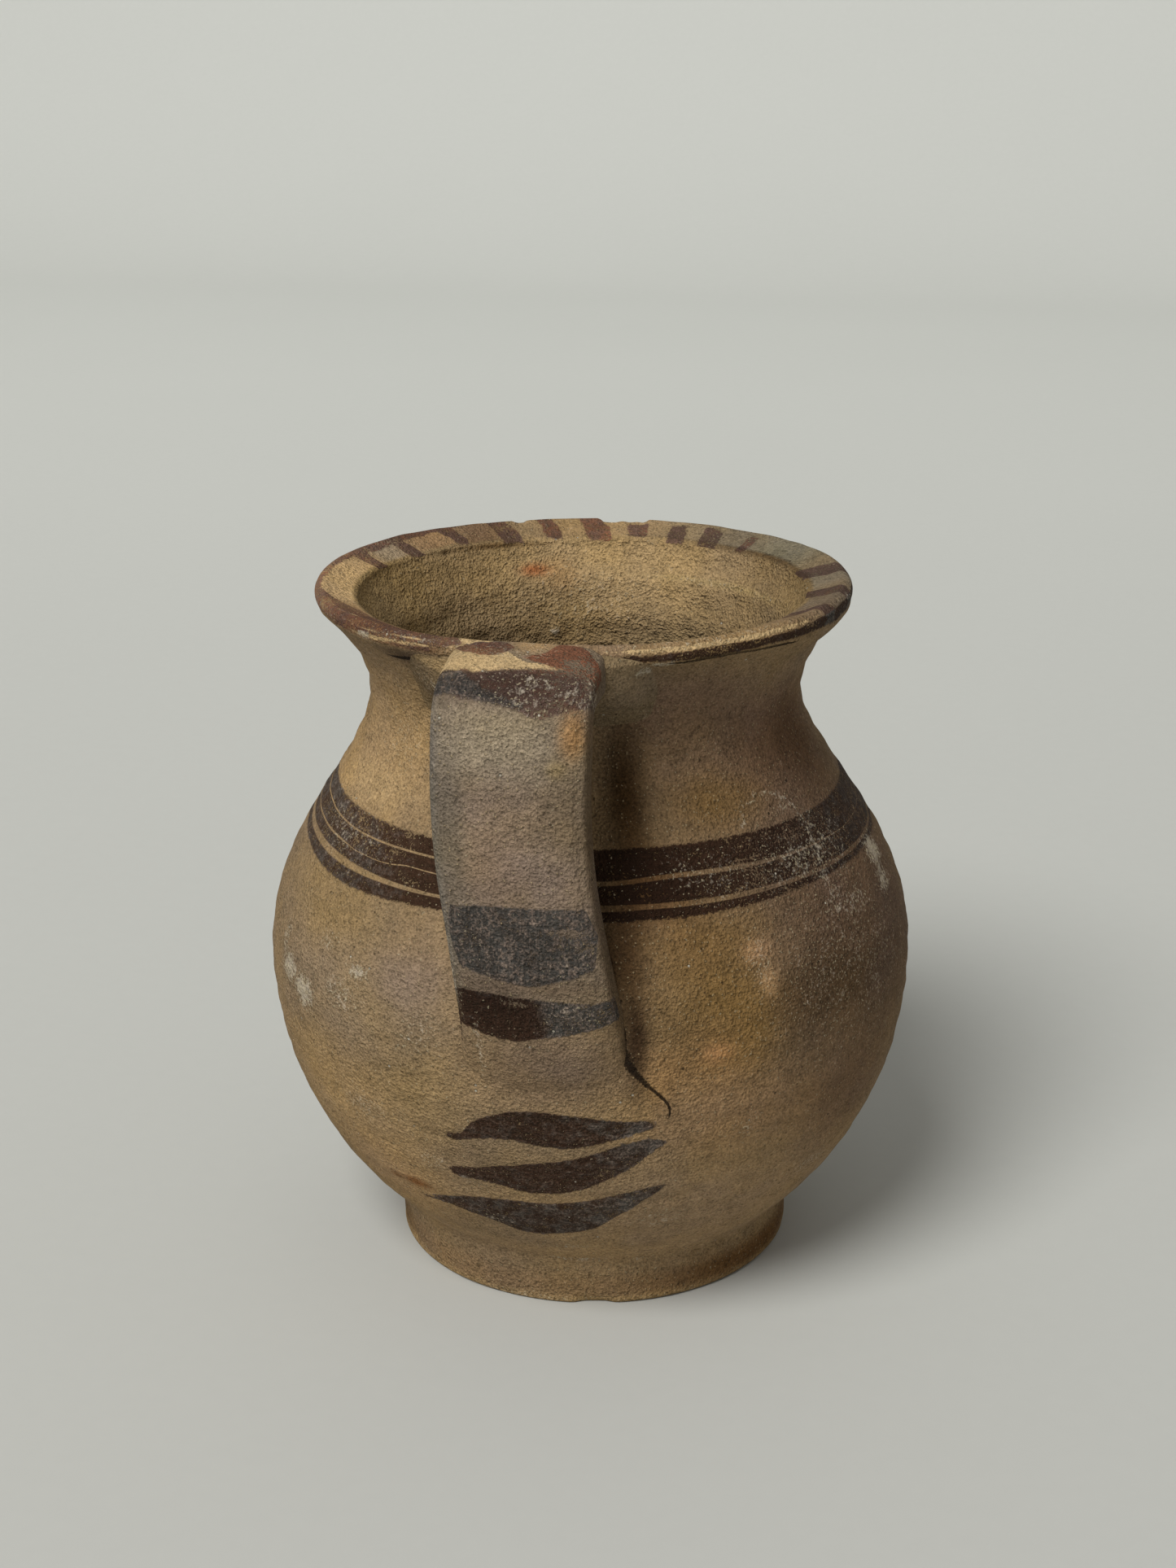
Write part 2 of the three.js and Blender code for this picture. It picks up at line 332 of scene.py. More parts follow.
def grid_faces(rows, columns, rows_looped, columns_looped):
    """Quads of a grid of points; its last row or column joins the first where looped."""
    row = np.arange(rows - 1 + rows_looped)[:, None] * columns
    column = np.arange(columns - 1 + columns_looped)[None, :]
    after = (column + 1) % columns
    above = (row + columns) % (rows * columns)
    quads = np.stack([row + column, row + after, above + after, above + column], axis=-1)
    return quads.reshape(-1, 4).tolist()


def ring_mesh(name, places, colour, fields, looped=False):
    """A closed mesh through rings of points, each joined to the next.

    The last ring joins the first where looped; otherwise a fan closes either end. Rings run so that
    the next point is to the right of the next ring's, seen from outside."""
    shape = places.shape[:2]
    rows, columns = shape
    faces = grid_faces(rows, columns, looped, True)
    if not looped:
        first, last, top = rows * columns, rows * columns + 1, (rows - 1) * columns
        faces += [[first, (i + 1) % columns, i] for i in range(columns)]
        faces += [[last, top + i, top + (i + 1) % columns] for i in range(columns)]

    def flat(values, width):
        values = np.broadcast_to(values, (*shape, width))
        ends = [] if looped else [values[:1].mean(axis=1), values[-1:].mean(axis=1)]
        return np.concatenate([values.reshape(-1, width), *ends])

    mesh = bpy.data.meshes.new(name)
    mesh.from_pydata((flat(places, 3) * MM).tolist(), [], faces)
    mesh.shade_smooth()
    clay = mesh.attributes.new("clay", "FLOAT_COLOR", "POINT")
    clay.data.foreach_set("color", flat(np.dstack([colour, np.ones(shape)]), 4).ravel())
    for key, plain in FIELDS.items():
        values = np.broadcast_to(np.asarray(fields.get(key, plain), float), shape)[..., None]
        mesh.attributes.new(key, "FLOAT", "POINT").data.foreach_set("value", flat(values, 1).ravel())
    return mesh


def add_piece(name, mesh, finish, node):
    """Puts a finished mesh in the scene in place of its CAD node."""
    piece = bpy.data.objects.new(name, mesh)
    bpy.context.scene.collection.objects.link(piece)
    mesh.materials.append(finish)
    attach(piece, "root")
    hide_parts(node)


# The thrown vessel

def face_radius(z, size, wall, depth, lip, top):
    """A face of the vessel, wall inside its outer one: an ellipse of that depth to the widest place, a
    smoothstep shoulder to the neck, and a squared flare to the lip's radius at the top."""
    narrow, wide = size.neck_radius - wall, size.belly_radius - wall
    below = (size.belly_height - np.minimum(z, size.belly_height)) / depth
    belly = wide * np.sqrt(np.maximum(1 - below ** 2, 0))
    up = np.clip((z - size.belly_height) / (size.neck_height - size.belly_height), 0, 1)
    shoulder = wide - (wide - narrow) * smooth(0, 1, up ** size.shoulder_lag)
    share = np.maximum(z - size.neck_height, 0) / (top - size.neck_height)
    flare = narrow + (lip - narrow) * share ** 2
    return np.select([z <= size.belly_height, z <= size.neck_height], [belly, shoulder], flare)


def outer_radius(z, size):
    """Outer face, up to the lip's edge."""
    lip = size.rim_radius - size.edge_rounding / 3
    return face_radius(z, size, 0, size.belly_depth, lip, size.height - size.lip_edge)


def throat(size):
    """Height at which the inner face meets the lip's inner corner."""
    return size.height - size.lip_fall - size.inner_rounding


def inner_radius(z, size):
    """Inner face, whose ellipse is as much flatter as the floor is higher than the underside."""
    flatter = 1 - size.floor / (size.belly_height - size.underside)
    lip = size.rim_radius - size.lip_width
    return face_radius(z, size, size.wall, size.belly_depth * flatter, lip, throat(size))


def vessel_profile(size):
    """(radius, height) of the profile from the underside's middle over the lip to the floor's middle,
    and the number of the stretch that each point belongs to."""
    middle, samples = 0.4, 900
    floor = size.underside + size.floor
    up = np.linspace(size.underside, size.height - size.lip_edge, samples)
    down = np.linspace(throat(size), floor, samples)
    outside = np.stack([outer_radius(up, size), up], axis=-1)
    inside = np.stack([inner_radius(down, size), down], axis=-1)
    edge_middle = (size.rim_radius - size.edge_rounding, size.height - size.edge_rounding)
    edge = arc(edge_middle, size.edge_rounding, -25, 90, 9)
    corner_middle = (size.rim_radius - size.lip_width + size.inner_rounding, throat(size))
    corner = arc(corner_middle, size.inner_rounding, 105, 180, 4)
    near_lip = np.linspace(0, 0.3, 40, endpoint=False)
    stretches = [
        along_line([(middle, size.underside), outside[0]], np.linspace(0, 1, 5, endpoint=False)),
        along_line(outside, np.linspace(0, 1, 118)),
        edge,
        along_line([edge[-1], corner[0]], np.linspace(0, 1, 9)[1:-1]),
        corner,
        along_line(inside, np.concatenate([near_lip, np.linspace(0.3, 1, 15)]))[1:],
        along_line([inside[-1], (middle, floor)], np.linspace(0, 1, 5))[1:],
    ]
    number = np.repeat(np.arange(len(stretches)), [len(points) for points in stretches])
    return np.concatenate(stretches), number


UNDERSIDE, OUTSIDE, LIP_EDGE, LIP_TOP, LIP_CORNER, INSIDE, FLOOR = range(7)

# Chips and pits of the vessel: angle, height, half width round, half height, depth
LIP_CHIPS = ((181, 4.6, 0.7), (-153.5, 1.2, 0.5))
PITS = ((41, 22, 1.4, 0.9, 0.5), (-21, 104, 0.5, 0.5, 0.4), (52, 103, 0.6, 0.6, 0.4))
INNER_PITS = ((140.5, 114.6, 0.8, 0.6, 0.6), (-158.6, 106, 1.1, 1, -0.9), (150, 110, 0.7, 0.5, 0.4))

# Brush strokes below the handle: angle, height of the middle, half height
LEAF_STROKES = (
    (
        (-14.9, 41.2, 0.3), (-14, 41.2, 0.7), (-11.6, 41.5, 0.8), (-10, 42.8, 1.5), (-7, 44.1, 2.2),
        (-3, 45.1, 2.8), (2, 45.1, 3.5), (7, 44.8, 3.4), (12, 45, 2.6), (17, 45.3, 1.5), (21, 45.8, 0.8),
        (23, 45.6, 0),
    ),
    (
        (-15.9, 33.2, 0.3), (-14.7, 33.2, 1), (-12, 33.3, 1.2), (-7, 33.8, 2), (-1, 34, 3.3),
        (6, 35, 3.7), (12, 37, 3.5), (18, 40, 2.7), (22, 41.8, 1.2), (24, 42.3, 0),
    ),
    (
        (-27, 23.4, 0), (-20, 24.3, 1), (-12, 24.7, 2.8), (-4, 23.6, 4.6), (4, 24, 4.5), (11, 25.5, 4),
        (17, 28.6, 2.6), (22, 31.2, 1.3), (25, 32.8, 0),
    ),
)

# Height of the painted band's upper and lower edge, by angle
BAND_TOP = ((-180, -75, -45, -20, 20, 60, 110, 180), (90.2, 90.4, 89.6, 89.5, 90.1, 89.8, 90, 90.2))
BAND_FOOT = (
    (-180, -70, -42, -18, 18, 28, 40, 60, 110, 180),
    (80.4, 80.8, 79.1, 79.8, 80, 79.9, 80.1, 80.5, 80.5, 80.4),
)
# Bare lines left in the band: each one's height and its half width, by angle
BARE_LINES = (
    (
        "gap_upper",
        (
            (-180, -75, -50, -15, 16, 26, 36, 50, 90, 180),
            (86.8, 88, 86.9, 86.8, 85.4, 85.8, 85.75, 85.45, 85.3, 86.8),
        ),
        ((-180, -80, -45, -30, -15, 10, 48, 62, 180), (0.2, 0.13, 0.13, 0.16, 0.17, 0.3, 0.28, 0.13, 0.2)),
    ),
    (
        "gap_hair",
        ((-180, -72, -43, -14, 4, 26, 60, 120, 180), (84.6, 85, 84.3, 84.4, 82, 81.85, 81.8, 82.2, 84.6)),
        ((-180, -62, -48, -43, -28, -21, 180), (0.12, 0.14, 0.12, 0.02, 0.02, 0.08, 0.08)),
    ),
    (
        "gap_lower",
        (
            (-180, -70, -45, -18, 16, 26, 36, 60, 180),
            (82.6, 82.7, 81.9, 81.7, 82, 81.85, 81.75, 81.8, 82.6),
        ),
        (
            (-180, -65, -45, -31, -18, 10, 42, 56, 90, 180),
            (0.4, 0.5, 0.55, 0.36, 0.22, 0.34, 0.3, 0.07, 0.07, 0.4),
        ),
    ),
)

# Strokes across the lip: angle, half width in mm, slant in mm, inner radius, how purple it fired
LIP_STROKES = (
    (-50, 1.5, -1, 40.5, 0.75), (-101.8, 1.6, 0, 40.4, 0.8), (-117, 1.6, 1, 40.2, 0.95),
    (-133.8, 1.4, 1, 41.4, 0.9), (-148, 2.1, 0.9, 40.4, 0.9), (-160, 1.7, 1, 41, 0.7),
    (-172, 2.3, 1, 40.6, 0.6), (176.7, 1.9, 0.6, 41.2, 0.8), (166.3, 1.8, 0.9, 40.4, 1),
    (156.9, 1.9, 1.2, 40.2, 1), (143.8, 1.1, 0.3, 40.6, 0.8), (107.5, 2.9, -2, 40.3, 1),
    (88.5, 2.4, -1.5, 40.3, 0.9), (71, 2.2, 1.2, 41, 0.9),
)
# Stripe along the lip's outer edge: angle, middle and half width, inwards from the edge over the top
LIP_STRIPE = (
    (-176, -0.4, 0), (-166, -0.2, 1), (-146, -0.3, 1.2), (-137, 0.1, 1.5), (-120, 0.9, 2.3),
    (-105, 0.8, 2.3), (-97, 0.4, 2), (-88, 0.2, 2.1), (-66, 0, 2.3), (-58, 1.4, 3.6), (-44, 1.6, 4.2),
    (-32, 1.4, 4), (-20, 1.2, 3.4), (-15.5, 0.8, 1.6), (-14, 0.1, 0.7), (-4, -0.2, 0.55), (6, -0.2, 0.5),
    (12, -0.3, 0),
)
EDGE_BAND = (
    (12, -1.9, 0), (20, -2, 0.4), (28, -1.9, 0.6), (38, -1.9, 0.75), (50, -1.8, 0.6), (66, -1.7, 0.8),
    (84, -1.4, 1), (100, -1.2, 0.6), (112, -1, 0),
)
LIP_CREAM = (
    ((-52, 1, 0), (-46, 1.6, 0.25), (-38, 2.2, 0.3), (-27, 2.9, 0.28), (-16, 3.6, 0)),
    ((-50, -0.3, 0), (-38, -0.8, 0.32), (-30, -0.6, 0.28), (-22, -0.2, 0.3), (-15, 0.4, 0)),
    ((-46, -2, 0), (-38, -2.1, 0.35), (-30, -1.8, 0.3), (-20, -1.4, 0.25), (-14, -1, 0)),
    (
        (-14.5, 1.8, 0), (-12.5, 1.8, 2), (-9, 1.8, 1.9), (-5, 1.6, 1.3), (2, 1.5, 1), (5, 1.4, 0),
    ),
    ((14, -0.6, 0), (24, -0.5, 0.5), (40, -0.4, 0.6), (56, -0.3, 0.5), (70, 0, 0)),
)
# Stains of the lip: angle, spread, colour, strength
LIP_STAINS = (
    (-80, 25, "bd9f75", 1), (-111, 6, "988770", 0.9), (-127, 7, "907250", 0.8), (-142, 6, "745b44", 0.8),
    (-154, 6, "907a5c", 0.8), (-167, 5, "957c5a", 0.8), (180, 8, "a68b66", 0.8), (161, 12, "8c7a5e", 0.8),
    (150, 8, "7c6e58", 0.8), (130, 17, "776f5c", 1), (102, 12, "776c5c", 1), (82, 12, "6c5f4f", 0.9),
    (62, 12, "7b664e", 0.9), (36, 22, "947a58", 0.9), (12, 10, "86705a", 0.8), (-38, 20, "825e44", 0.9),
    (-8, 8, "a08a66", 0.9),
)
LIP_DUST = (
    (-39.6, -2.2, 3, 0.9, 0.72), (-60, -0.8, 12, 1.4, 0.3), (180, -0.2, 5.5, 1.2, 0.85),
    (-153.5, 0, 2, 1, 0.7), (36, 0.8, 26, 1.6, 0.34), (27, -2.9, 5, 0.6, 0.75),
    (-22, -0.4, 16, 1.6, 0.32), (88, -0.6, 10, 1.2, 0.3),
)

# Broad stains of the pot's clay, and painted shade: angle, height, spreads, colour, strength
POT_STAINS_AND_SHADE = (
    (-45, 38, 34, 13, "9b805a", 0.9), (-32, 64, 20, 11, "85725a", 0.8), (-55, 98, 28, 15, "a4875f", 0.85),
    (-20, 51, 9, 11, "8a7454", 0.8), (-20, 71, 8, 7, "827064", 0.6), (-42, 76, 22, 6, "8a7350", 0.7),
    (-48, 93.5, 16, 3.6, "b1956c", 0.7), (4, 56, 13, 9, "7c6854", 0.95), (0, 40, 17, 8, "7d6a52", 0.8),
    # Partly the clay's own browner colour, partly painted shade: the dark stains at 70, 60, 76, 49, 58 and
    # 62 degrees darken the side turned away from the lamp.
    (70, 74, 38, 32, "604c3c", 1), (60, 103, 34, 10, "735a47", 0.9), (34, 112, 16, 6, "85695a", 0.6),
    (76, 100, 14, 9, "523b28", 0.75), (38, 106, 14, 15, "776046", 0.7), (42, 95, 12, 4.5, "6e5530", 0.7),
    (33, 62, 15, 19, "7a5f37", 0.85), (49, 65, 7, 7, "58442f", 0.6), (31, 56, 7, 6, "96744c", 0.6),
    (45, 72, 6, 5, "826a50", 0.5), (58, 65, 12, 8, "4e3c28", 0.7), (36, 46, 18, 8, "9b7c59", 0.7),
    # Painted shadow of the strap: (20, 97) darkens the neck beside it, and (24, 84) the clay and band there.
    (62, 41, 14, 12, "705843", 0.8), (20, 97, 5.5, 14, "38240f", 0.9), (24, 84, 9, 6, "573a20", 0.75),
    # Painted shade: (-26, 120) is the shade under the lip left of the strap, and (17, 76) the strap's shadow
    # on the shoulder.
    (-26, 120, 12, 1.9, "4c3d32", 0.85), (17, 76, 5, 10, "3c2714", 0.85),
    # Painted shadow: (18.6, 61) is the strap's narrow shadow on the belly; (22.8, 55) is painted light that
    # lightens the belly just past it.
    (18.6, 61, 2.4, 9, "2e1d10", 0.9), (22.8, 55, 3, 5, "a07c50", 0.7), (0, 12, 70, 3.4, "a98d6a", 0.6),
    (29, 76, 8, 5, "755a36", 0.6), (32, 24, 40, 14, "9f8463", 0.7), (-32, 26, 14, 9, "a88860", 0.7),
    # Painted shade: (-78, 16) darkens the crease between the belly and the foot on the left.
    (-78, 16, 17, 8, "6a5138", 0.7), (42.5, 68.5, 1.8, 2.4, "a5845f", 0.75),
    (41.2, 73.4, 2.8, 1.7, "ab8764", 0.85), (32, 58, 2.6, 1.6, "b08358", 0.7),
    (-26, 26.8, 3.6, 1.3, "74451c", 0.85), (-31.5, 26.8, 2, 0.8, "74481e", 0.7),
    (150, 62, 40, 28, "7a664c", 0.5), (-130, 92, 30, 22, "80694f", 0.5),
    (120, 100, 25, 20, "6f5a44", 0.5),
)
# Chalky dust on the pot: angle, height, spreads, thickness
POT_DUST = (
    (-54, 60.8, 4, 3, 0.8), (-47.5, 58.6, 4, 3, 0.9), (-57, 65, 2, 4, 0.5), (-32, 66.8, 2.6, 1.4, 0.75),
    (-36, 62, 5, 3, 0.45), (-41, 70, 3, 2, 0.4), (-12, 31, 3, 2, 0.35), (-33, 42, 5, 3, 0.36),
    (84, 79, 4.5, 2.6, 0.9), (82.5, 74.5, 3.5, 2.5, 0.7), (62, 66, 22, 14, 0.24), (62, 76.5, 4, 3, 0.4),
    (57, 84, 6, 3.5, 0.42), (68, 75, 7, 2.5, 0.42), (41.5, 71.5, 3, 4.5, 0.4), (64, 84, 13, 5, 0.36),
    (37, 84.5, 8, 4, 0.3), (29, 86.5, 4, 2, 0.3), (-50, 86, 14, 4, 0.3), (52, 85, 8, 4, 0.33),
    (60, 92, 4, 1.2, 0.34), (66, 87.5, 1.8, 4, 0.38), (38, 43, 3, 2, 0.36), (-10, 22, 4, 1.2, 0.3),
    (5, 15, 7, 0.7, 0.5), (-18, 60, 4, 5, 0.3), (-42, 102, 8, 6, 0.25), (-19, 34, 3, 2, 0.4),
    (24, 24, 6, 3, 0.33), (60, 28, 6, 2, 0.4), (-20, 108, 6, 8, 0.3),
)

# A pale ring of dust on the shoulder: angle times the scale, height
DUST_RING_SCALE = 0.766
DUST_RING = (
    (35.5, 91), (36.4, 93.6), (41.4, 94.8), (45.4, 94.1), (48, 91.8), (49, 88.7), (48.7, 85), (47.3, 80),
)
# Dust inside: angle from the back, height, spreads, thickness
INNER_DUST = (
    (-15.4, 117.9, 0.7, 0.35, 1), (21.4, 106, 1.6, 0.9, 0.8), (8, 112, 20, 6, 0.25),
    (-30, 116.6, 22, 0.5, 0.3),
)
# Broad stains inside, and painted shade: angle, height, spreads, colour, strength
INNER_STAINS_AND_SHADE = (
    (180, 117, 40, 10, "b09468", 0.85), (90, 112, 40, 30, "7d6947", 0.7),
    (-90, 112, 50, 30, "887148", 0.6), (150, 90, 36, 16, "827450", 0.6),
    (-154.5, 117.2, 4.5, 1, "ab5e34", 0.85), (-161, 116, 6, 3, "a8804e", 0.5),
    (-150, 110, 24, 6, "8c7654", 0.6), (145, 116.6, 26, 0.6, "ab9466", 0.6),
    # Painted shade: (130, 122.9) and (-143, 122.2) are thin dark lines under the lip's inner edge.
    (130, 122.9, 32, 0.5, "4c3b26", 0.8), (-143, 122.2, 12, 0.7, "5a4328", 0.8),
)


def stretch_over(x, first, last):
    """1 between two places and nothing outside them, eased over 3 at either end."""
    return smooth(first, first + 3, x) * smooth(last, last - 3, x)


# A shallow ledge low on the belly: its height by angle
LEDGE = ((19, 25, 32), (26.8, 28.5, 29))
# How far the pot strays towards +X and how much it swells, by height
POT_STRAY = (
    (0, 20, 40, 60, 72, 84, 94, 104, 112), (0, 0.1, 0.25, 0.3, 0.45, 0.45, 0.32, -0.05, 0),
    (0, 0.1, 0.25, 0.05, -0.28, -0.14, 0.08, -0.05, 0),
)


def pot_shift(places, z, theta, size):
    """How far the outer face strays from its turned profile: a sideways lean and a swelling by height,
    slow noise (out of round), finger ridges sin(2 pi z / pitch) whose height wanders, noise of three
    smaller sizes, and one shallow ledge."""
    knots, lean, swelling = POT_STRAY
    stray = eased(z, knots, lean) * np.sin(np.radians(theta)) + eased(z, knots, swelling)
    free = smooth(size.height - 3, size.height - 12, z)
    ridges = size.ridge * np.sin(2 * np.pi * (z / 5.2 + theta / 360)) * (1 + lumps(places, 18, 2))
    small = 0.12 * lumps(places, 7, 3) + 0.07 * lumps(places, 2.2, 4) + 0.05 * lumps(places, 1.2, 14)
    ledge = eased(theta, *LEDGE)
    step = smooth(ledge - 1.2, ledge, z) * smooth(ledge + 3, ledge, z) * stretch_over(theta, 18, 34)
    return stray + size.unevenness * lumps(places, 42, 1) + free * (ridges + small - 0.25 * step)


def off_the_pot(theta, z, rise, size):
    """Places at a distance off the uneven outer face, square to its profile."""
    step = 0.05
    radius = np.minimum(outer_radius(z, size), size.rim_radius)
    slope = (outer_radius(z + step, size) - outer_radius(z - step, size)) / (2 * step)
    tilt = np.arctan(slope * (z < size.height - size.lip_edge))
    shift = pot_shift(turned_places(theta, radius, z), z, theta, size) + rise
    return turned_places(theta, radius + shift * np.cos(tilt), z - shift * np.sin(tilt))


def vessel_shape(size):
    """Rings of the vessel, and each point's angle, height, radius and stretch.

    The profile turns round the axis; each point then moves along its normal: outside by the pot's own
    shift, pits and a sag under the lip, inside by finger ridges and lumps of coarse sand. The lip's
    height wanders, and it is chipped."""
    profile, number = vessel_profile(size)
    slope = np.gradient(profile, axis=0)
    slope /= np.linalg.norm(slope, axis=1, keepdims=True)
    places, theta, r, z = turned(profile, 480)
    stretch = np.broadcast_to(number[:, None], z.shape)
    sag_depth, sag_height, sag_spread = 0.65, 120.2, 1.9
    sag = sag_depth * smooth(40, 75, theta) * smooth(135, 108, theta) * bump((z - sag_height) / sag_spread)
    slow = size.unevenness * lumps(places, 42, 1)
    shift = np.where(stretch > OUTSIDE, slow, pot_shift(places, z, theta, size) + sag)
    inside = (stretch == INSIDE) * smooth(size.height - 2.5, size.height - 6, z)
    ridges = np.sin(2 * np.pi * (z / 6.5 + theta / 360)) * (1 + 0.6 * lumps(places, 15, 5))
    sand = 0.2 * lumps(places, 3.4, 6) + 0.2 * lumps(places, 1.9, 7)
    shift = shift + inside * (size.inner_ridge * ridges + sand)
    for face, pits in ((OUTSIDE, PITS), (INSIDE, INNER_PITS)):
        for angle, height, half_round, half_up, depth in pits:
            pit = bump(mm_round(theta, angle, r) / half_round, (z - height) / half_up)
            shift = shift - (stretch == face) * depth * pit
    crumbled = np.maximum(lumps(places, 2.1, 12) - 0.2, 0) * smooth(22, 13, np.abs(theta + 143))
    at_corner = (stretch == LIP_CORNER) | (stretch == LIP_TOP)
    shift = shift - at_corner * smooth(44, 41, r) * 1.8 * crumbled
    places = places + shift[..., None] * turned_places(theta, slope[:, 1:], -slope[:, :1])
    brink_radius, brink_height, drawn_in, dip, sideways = 40.6, 122.8, 0.75, 0.6, 0.3
    brink = (stretch > LIP_EDGE) * bump((r - brink_radius) / 1.8, (z - brink_height) / 2.4)
    places = places - (drawn_in * brink)[..., None] * turned_places(theta, 1, 0)
    places[..., 2] -= dip * brink * smooth(45, 25, np.abs(turn_between(theta, -140)))
    places[..., 0] -= sideways * smooth(size.height - 12, size.height - 5, z)
    rise = 0.3 * lumps(places * (1, 1, 0), 24, 8) + 0.1 * lumps(places * (1, 1, 0), 4, 9)
    for angle, half_width, depth in LIP_CHIPS:
        away = np.abs(mm_round(theta, angle, r))
        notch = smooth(half_width + 0.5, half_width - 0.7, away) * smooth(42, 46, r)
        rise = rise - depth * notch * (1 + 0.3 * lumps(places, 1.5, 10))
    rise = np.minimum(rise, 0.25) + 0.45 * bump((np.abs(theta) - 120) / 26)
    places[..., 2] += smooth(size.height - 16, size.height - 3, z) * rise
    return places, theta, z, r, stretch


# Cracks, drawn near-black for the shade inside them: angle, height and half width along each
CRACK = (
    (46.9, 23.8, 0.12), (47.8, 24.1, 0.16), (48.9, 24, 0.22), (51.6, 22.1, 0.38), (54.3, 19.5, 0.6),
    (57.1, 17.4, 0.85), (60.2, 16.3, 0.85), (64, 16.2, 0.6),
)
# The two lines under the lip are cracks drawn as dark lines of painted shade where the lip overhangs the
# neck.
LIP_CRACK_SHADE = (
    (28, 121.9, 0.08), (33, 121.9, 0.2), (38, 122.1, 0.3), (43, 122.1, 0.22), (48, 122, 0.16),
    (54, 121.9, 0.22), (60, 121.7, 0.08),
)
LEFT_CRACK_SHADE = ((-36, 119.3, 0.08), (-33, 119.3, 0.25), (-27, 120, 0.3), (-22, 120.6, 0.1))


def off_line(along, across, line):
    """Signed distance across a thin line over its half width, and 1 near the line, 0 elsewhere."""
    knots, middle, half = np.array(line, float).T
    offset = np.clip((across - eased(along, knots, middle)) / eased(along, knots, half), -9, 9)
    reached = smooth(knots[0] - 0.4, knots[0] + 0.4, along) * smooth(knots[-1] + 0.4, knots[-1] - 0.4, along)
    return np.stack([offset, reached * smooth(9, 6, np.abs(offset))])


def vessel_paint(theta, z, r, stretch, size):
    """Signed distances to the vessel's painted marks, and where they are worn, red or blue-black."""
    outside = stretch == OUTSIDE
    lip_from, top_from = size.height - 8, size.height - 3
    on_lip = (stretch >= LIP_EDGE) & (stretch <= LIP_CORNER) | (outside & (z > lip_from))
    band = np.minimum(eased(theta, *BAND_TOP) - z, z - eased(theta, *BAND_FOOT))
    dark = only(outside, np.maximum(band, strokes(theta, z, LEAF_STROKES, 0.9)))
    inwards = size.rim_radius - r
    inwards = inwards - np.maximum(size.height - z - size.lip_fall * inwards / size.lip_width, 0)
    inwards = np.where(outside, z - size.height, inwards)
    spread = 0.35 * lumps(np.stack([theta * 0.8, inwards, z], axis=-1), 1.8, 15)
    red = only(on_lip, stroke(theta, inwards, LIP_STRIPE, 0.8) + spread)
    purple = np.full(theta.shape, 0.75)
    short, full, middle = 44.8, 49, size.rim_radius - 3.4
    outer = np.where(np.abs(turn_between(theta, 160)) < 21, short, full)
    for angle, half, slant, inner, hue in LIP_STROKES:
        sideways = mm_round(theta, angle, r) - slant * (r - middle) / 3
        mark = np.minimum(half - np.abs(sideways), np.minimum(r - inner, outer - r)) + 1.8 * spread
        mark = only(on_lip & (z > top_from), mark)
        purple = np.where((mark > -1) & (mark > red - 0.5), hue, purple)
        red = np.maximum(red, mark)
    edge = only(on_lip, stroke(theta, inwards, EDGE_BAND, 0.8) + 0.6 * spread)
    purple = np.where(edge > np.maximum(red, -1), 0.1, purple)
    slip = only(on_lip, strokes(theta, inwards, LIP_CREAM, 0.8) + 0.4 * spread)
    wear = 0.18 + 0.15 * smooth(26, 46, theta) + 0.06 * smooth(-15, -40, theta) - 0.03 * (z < 60)
    cool = (0.22 + 0.35 * smooth(8, 20, theta)) * (z < 60) + 0.2 * (z < 30)
    cool = cool + (0.42 * smooth(-20, -45, theta) + 0.3 * smooth(52, 70, theta)) * (z > 60)
    chalk = np.where(outside, dusted(theta, z, POT_DUST), 0) + on_lip * dusted(theta, inwards, LIP_DUST)
    ring = 0.5 - off_path(theta * DUST_RING_SCALE, z, DUST_RING)
    chalk = np.maximum(chalk, outside * (0.44 + 0.1 * smooth(93, 90, z)) * smooth(-0.5, 0.3, ring))
    chalk = np.where(stretch == INSIDE, dusted(turn_between(theta, 180), z, INNER_DUST), chalk)
    under_lip = [off_line(theta, z, LIP_CRACK_SHADE), off_line(theta, z, LEFT_CRACK_SHADE)]
    high = z > 110
    crack, opened = np.select([high & (theta > 0), high], under_lip, off_line(z, theta, CRACK))
    lines = {}
    for key, middle, half in BARE_LINES:
        lines[key] = np.clip((z - eased(theta, *middle)) / np.maximum(eased(theta, *half), 0.02), -9, 9)
    return {
        "dark": np.maximum(dark, edge),
        "red": np.where(on_lip, np.minimum(red, 0.1 - slip), red),
        "slip": slip,
        "wear": np.where(on_lip, 0.26 + 0.14 * stretch_over(theta, -62, -16), wear),
        "cool": np.where(on_lip, purple, cool),
        "chalk": chalk,
        "crack": crack,
        "open": opened * outside,
        **lines,
    }


class JUG_OT_vessel(Operator):
    """Throws the vessel: belly, shoulder, neck and flared lip round one hollow, with its painted marks"""

    bl_idname = "jug.vessel"
    bl_label = "Throw the vessel"

    def execute(self, context):
        size, colours = in_mm(context.scene.jug_vessel), context.scene.jug_colours
        places, theta, z, r, stretch = vessel_shape(size)
        colour = spots(theta, z, colours.buff, POT_STAINS_AND_SHADE)
        inside = (stretch >= LIP_CORNER)[..., None]
        colour = np.where(inside, spots(theta, z, linear("8a7456"), INNER_STAINS_AND_SHADE), colour)
        lip_marks = [(angle, 0, spread, 1, *mark) for angle, spread, *mark in LIP_STAINS]
        on_lip = ((stretch == LIP_EDGE) | (stretch == LIP_TOP))[..., None]
        colour = np.where(on_lip, spots(theta, 0 * z, linear("8d7352"), lip_marks), colour)
        fields = {**vessel_paint(theta, z, r, stretch, size), "coarse": inside[..., 0]}
        mesh = ring_mesh("jug_vessel", stand(places, size), colour, fields)
        add_piece("jug_vessel", mesh, clay_finish("vessel_clay", colours), "vessel_body")
        return {"FINISHED"}


# The foot ring

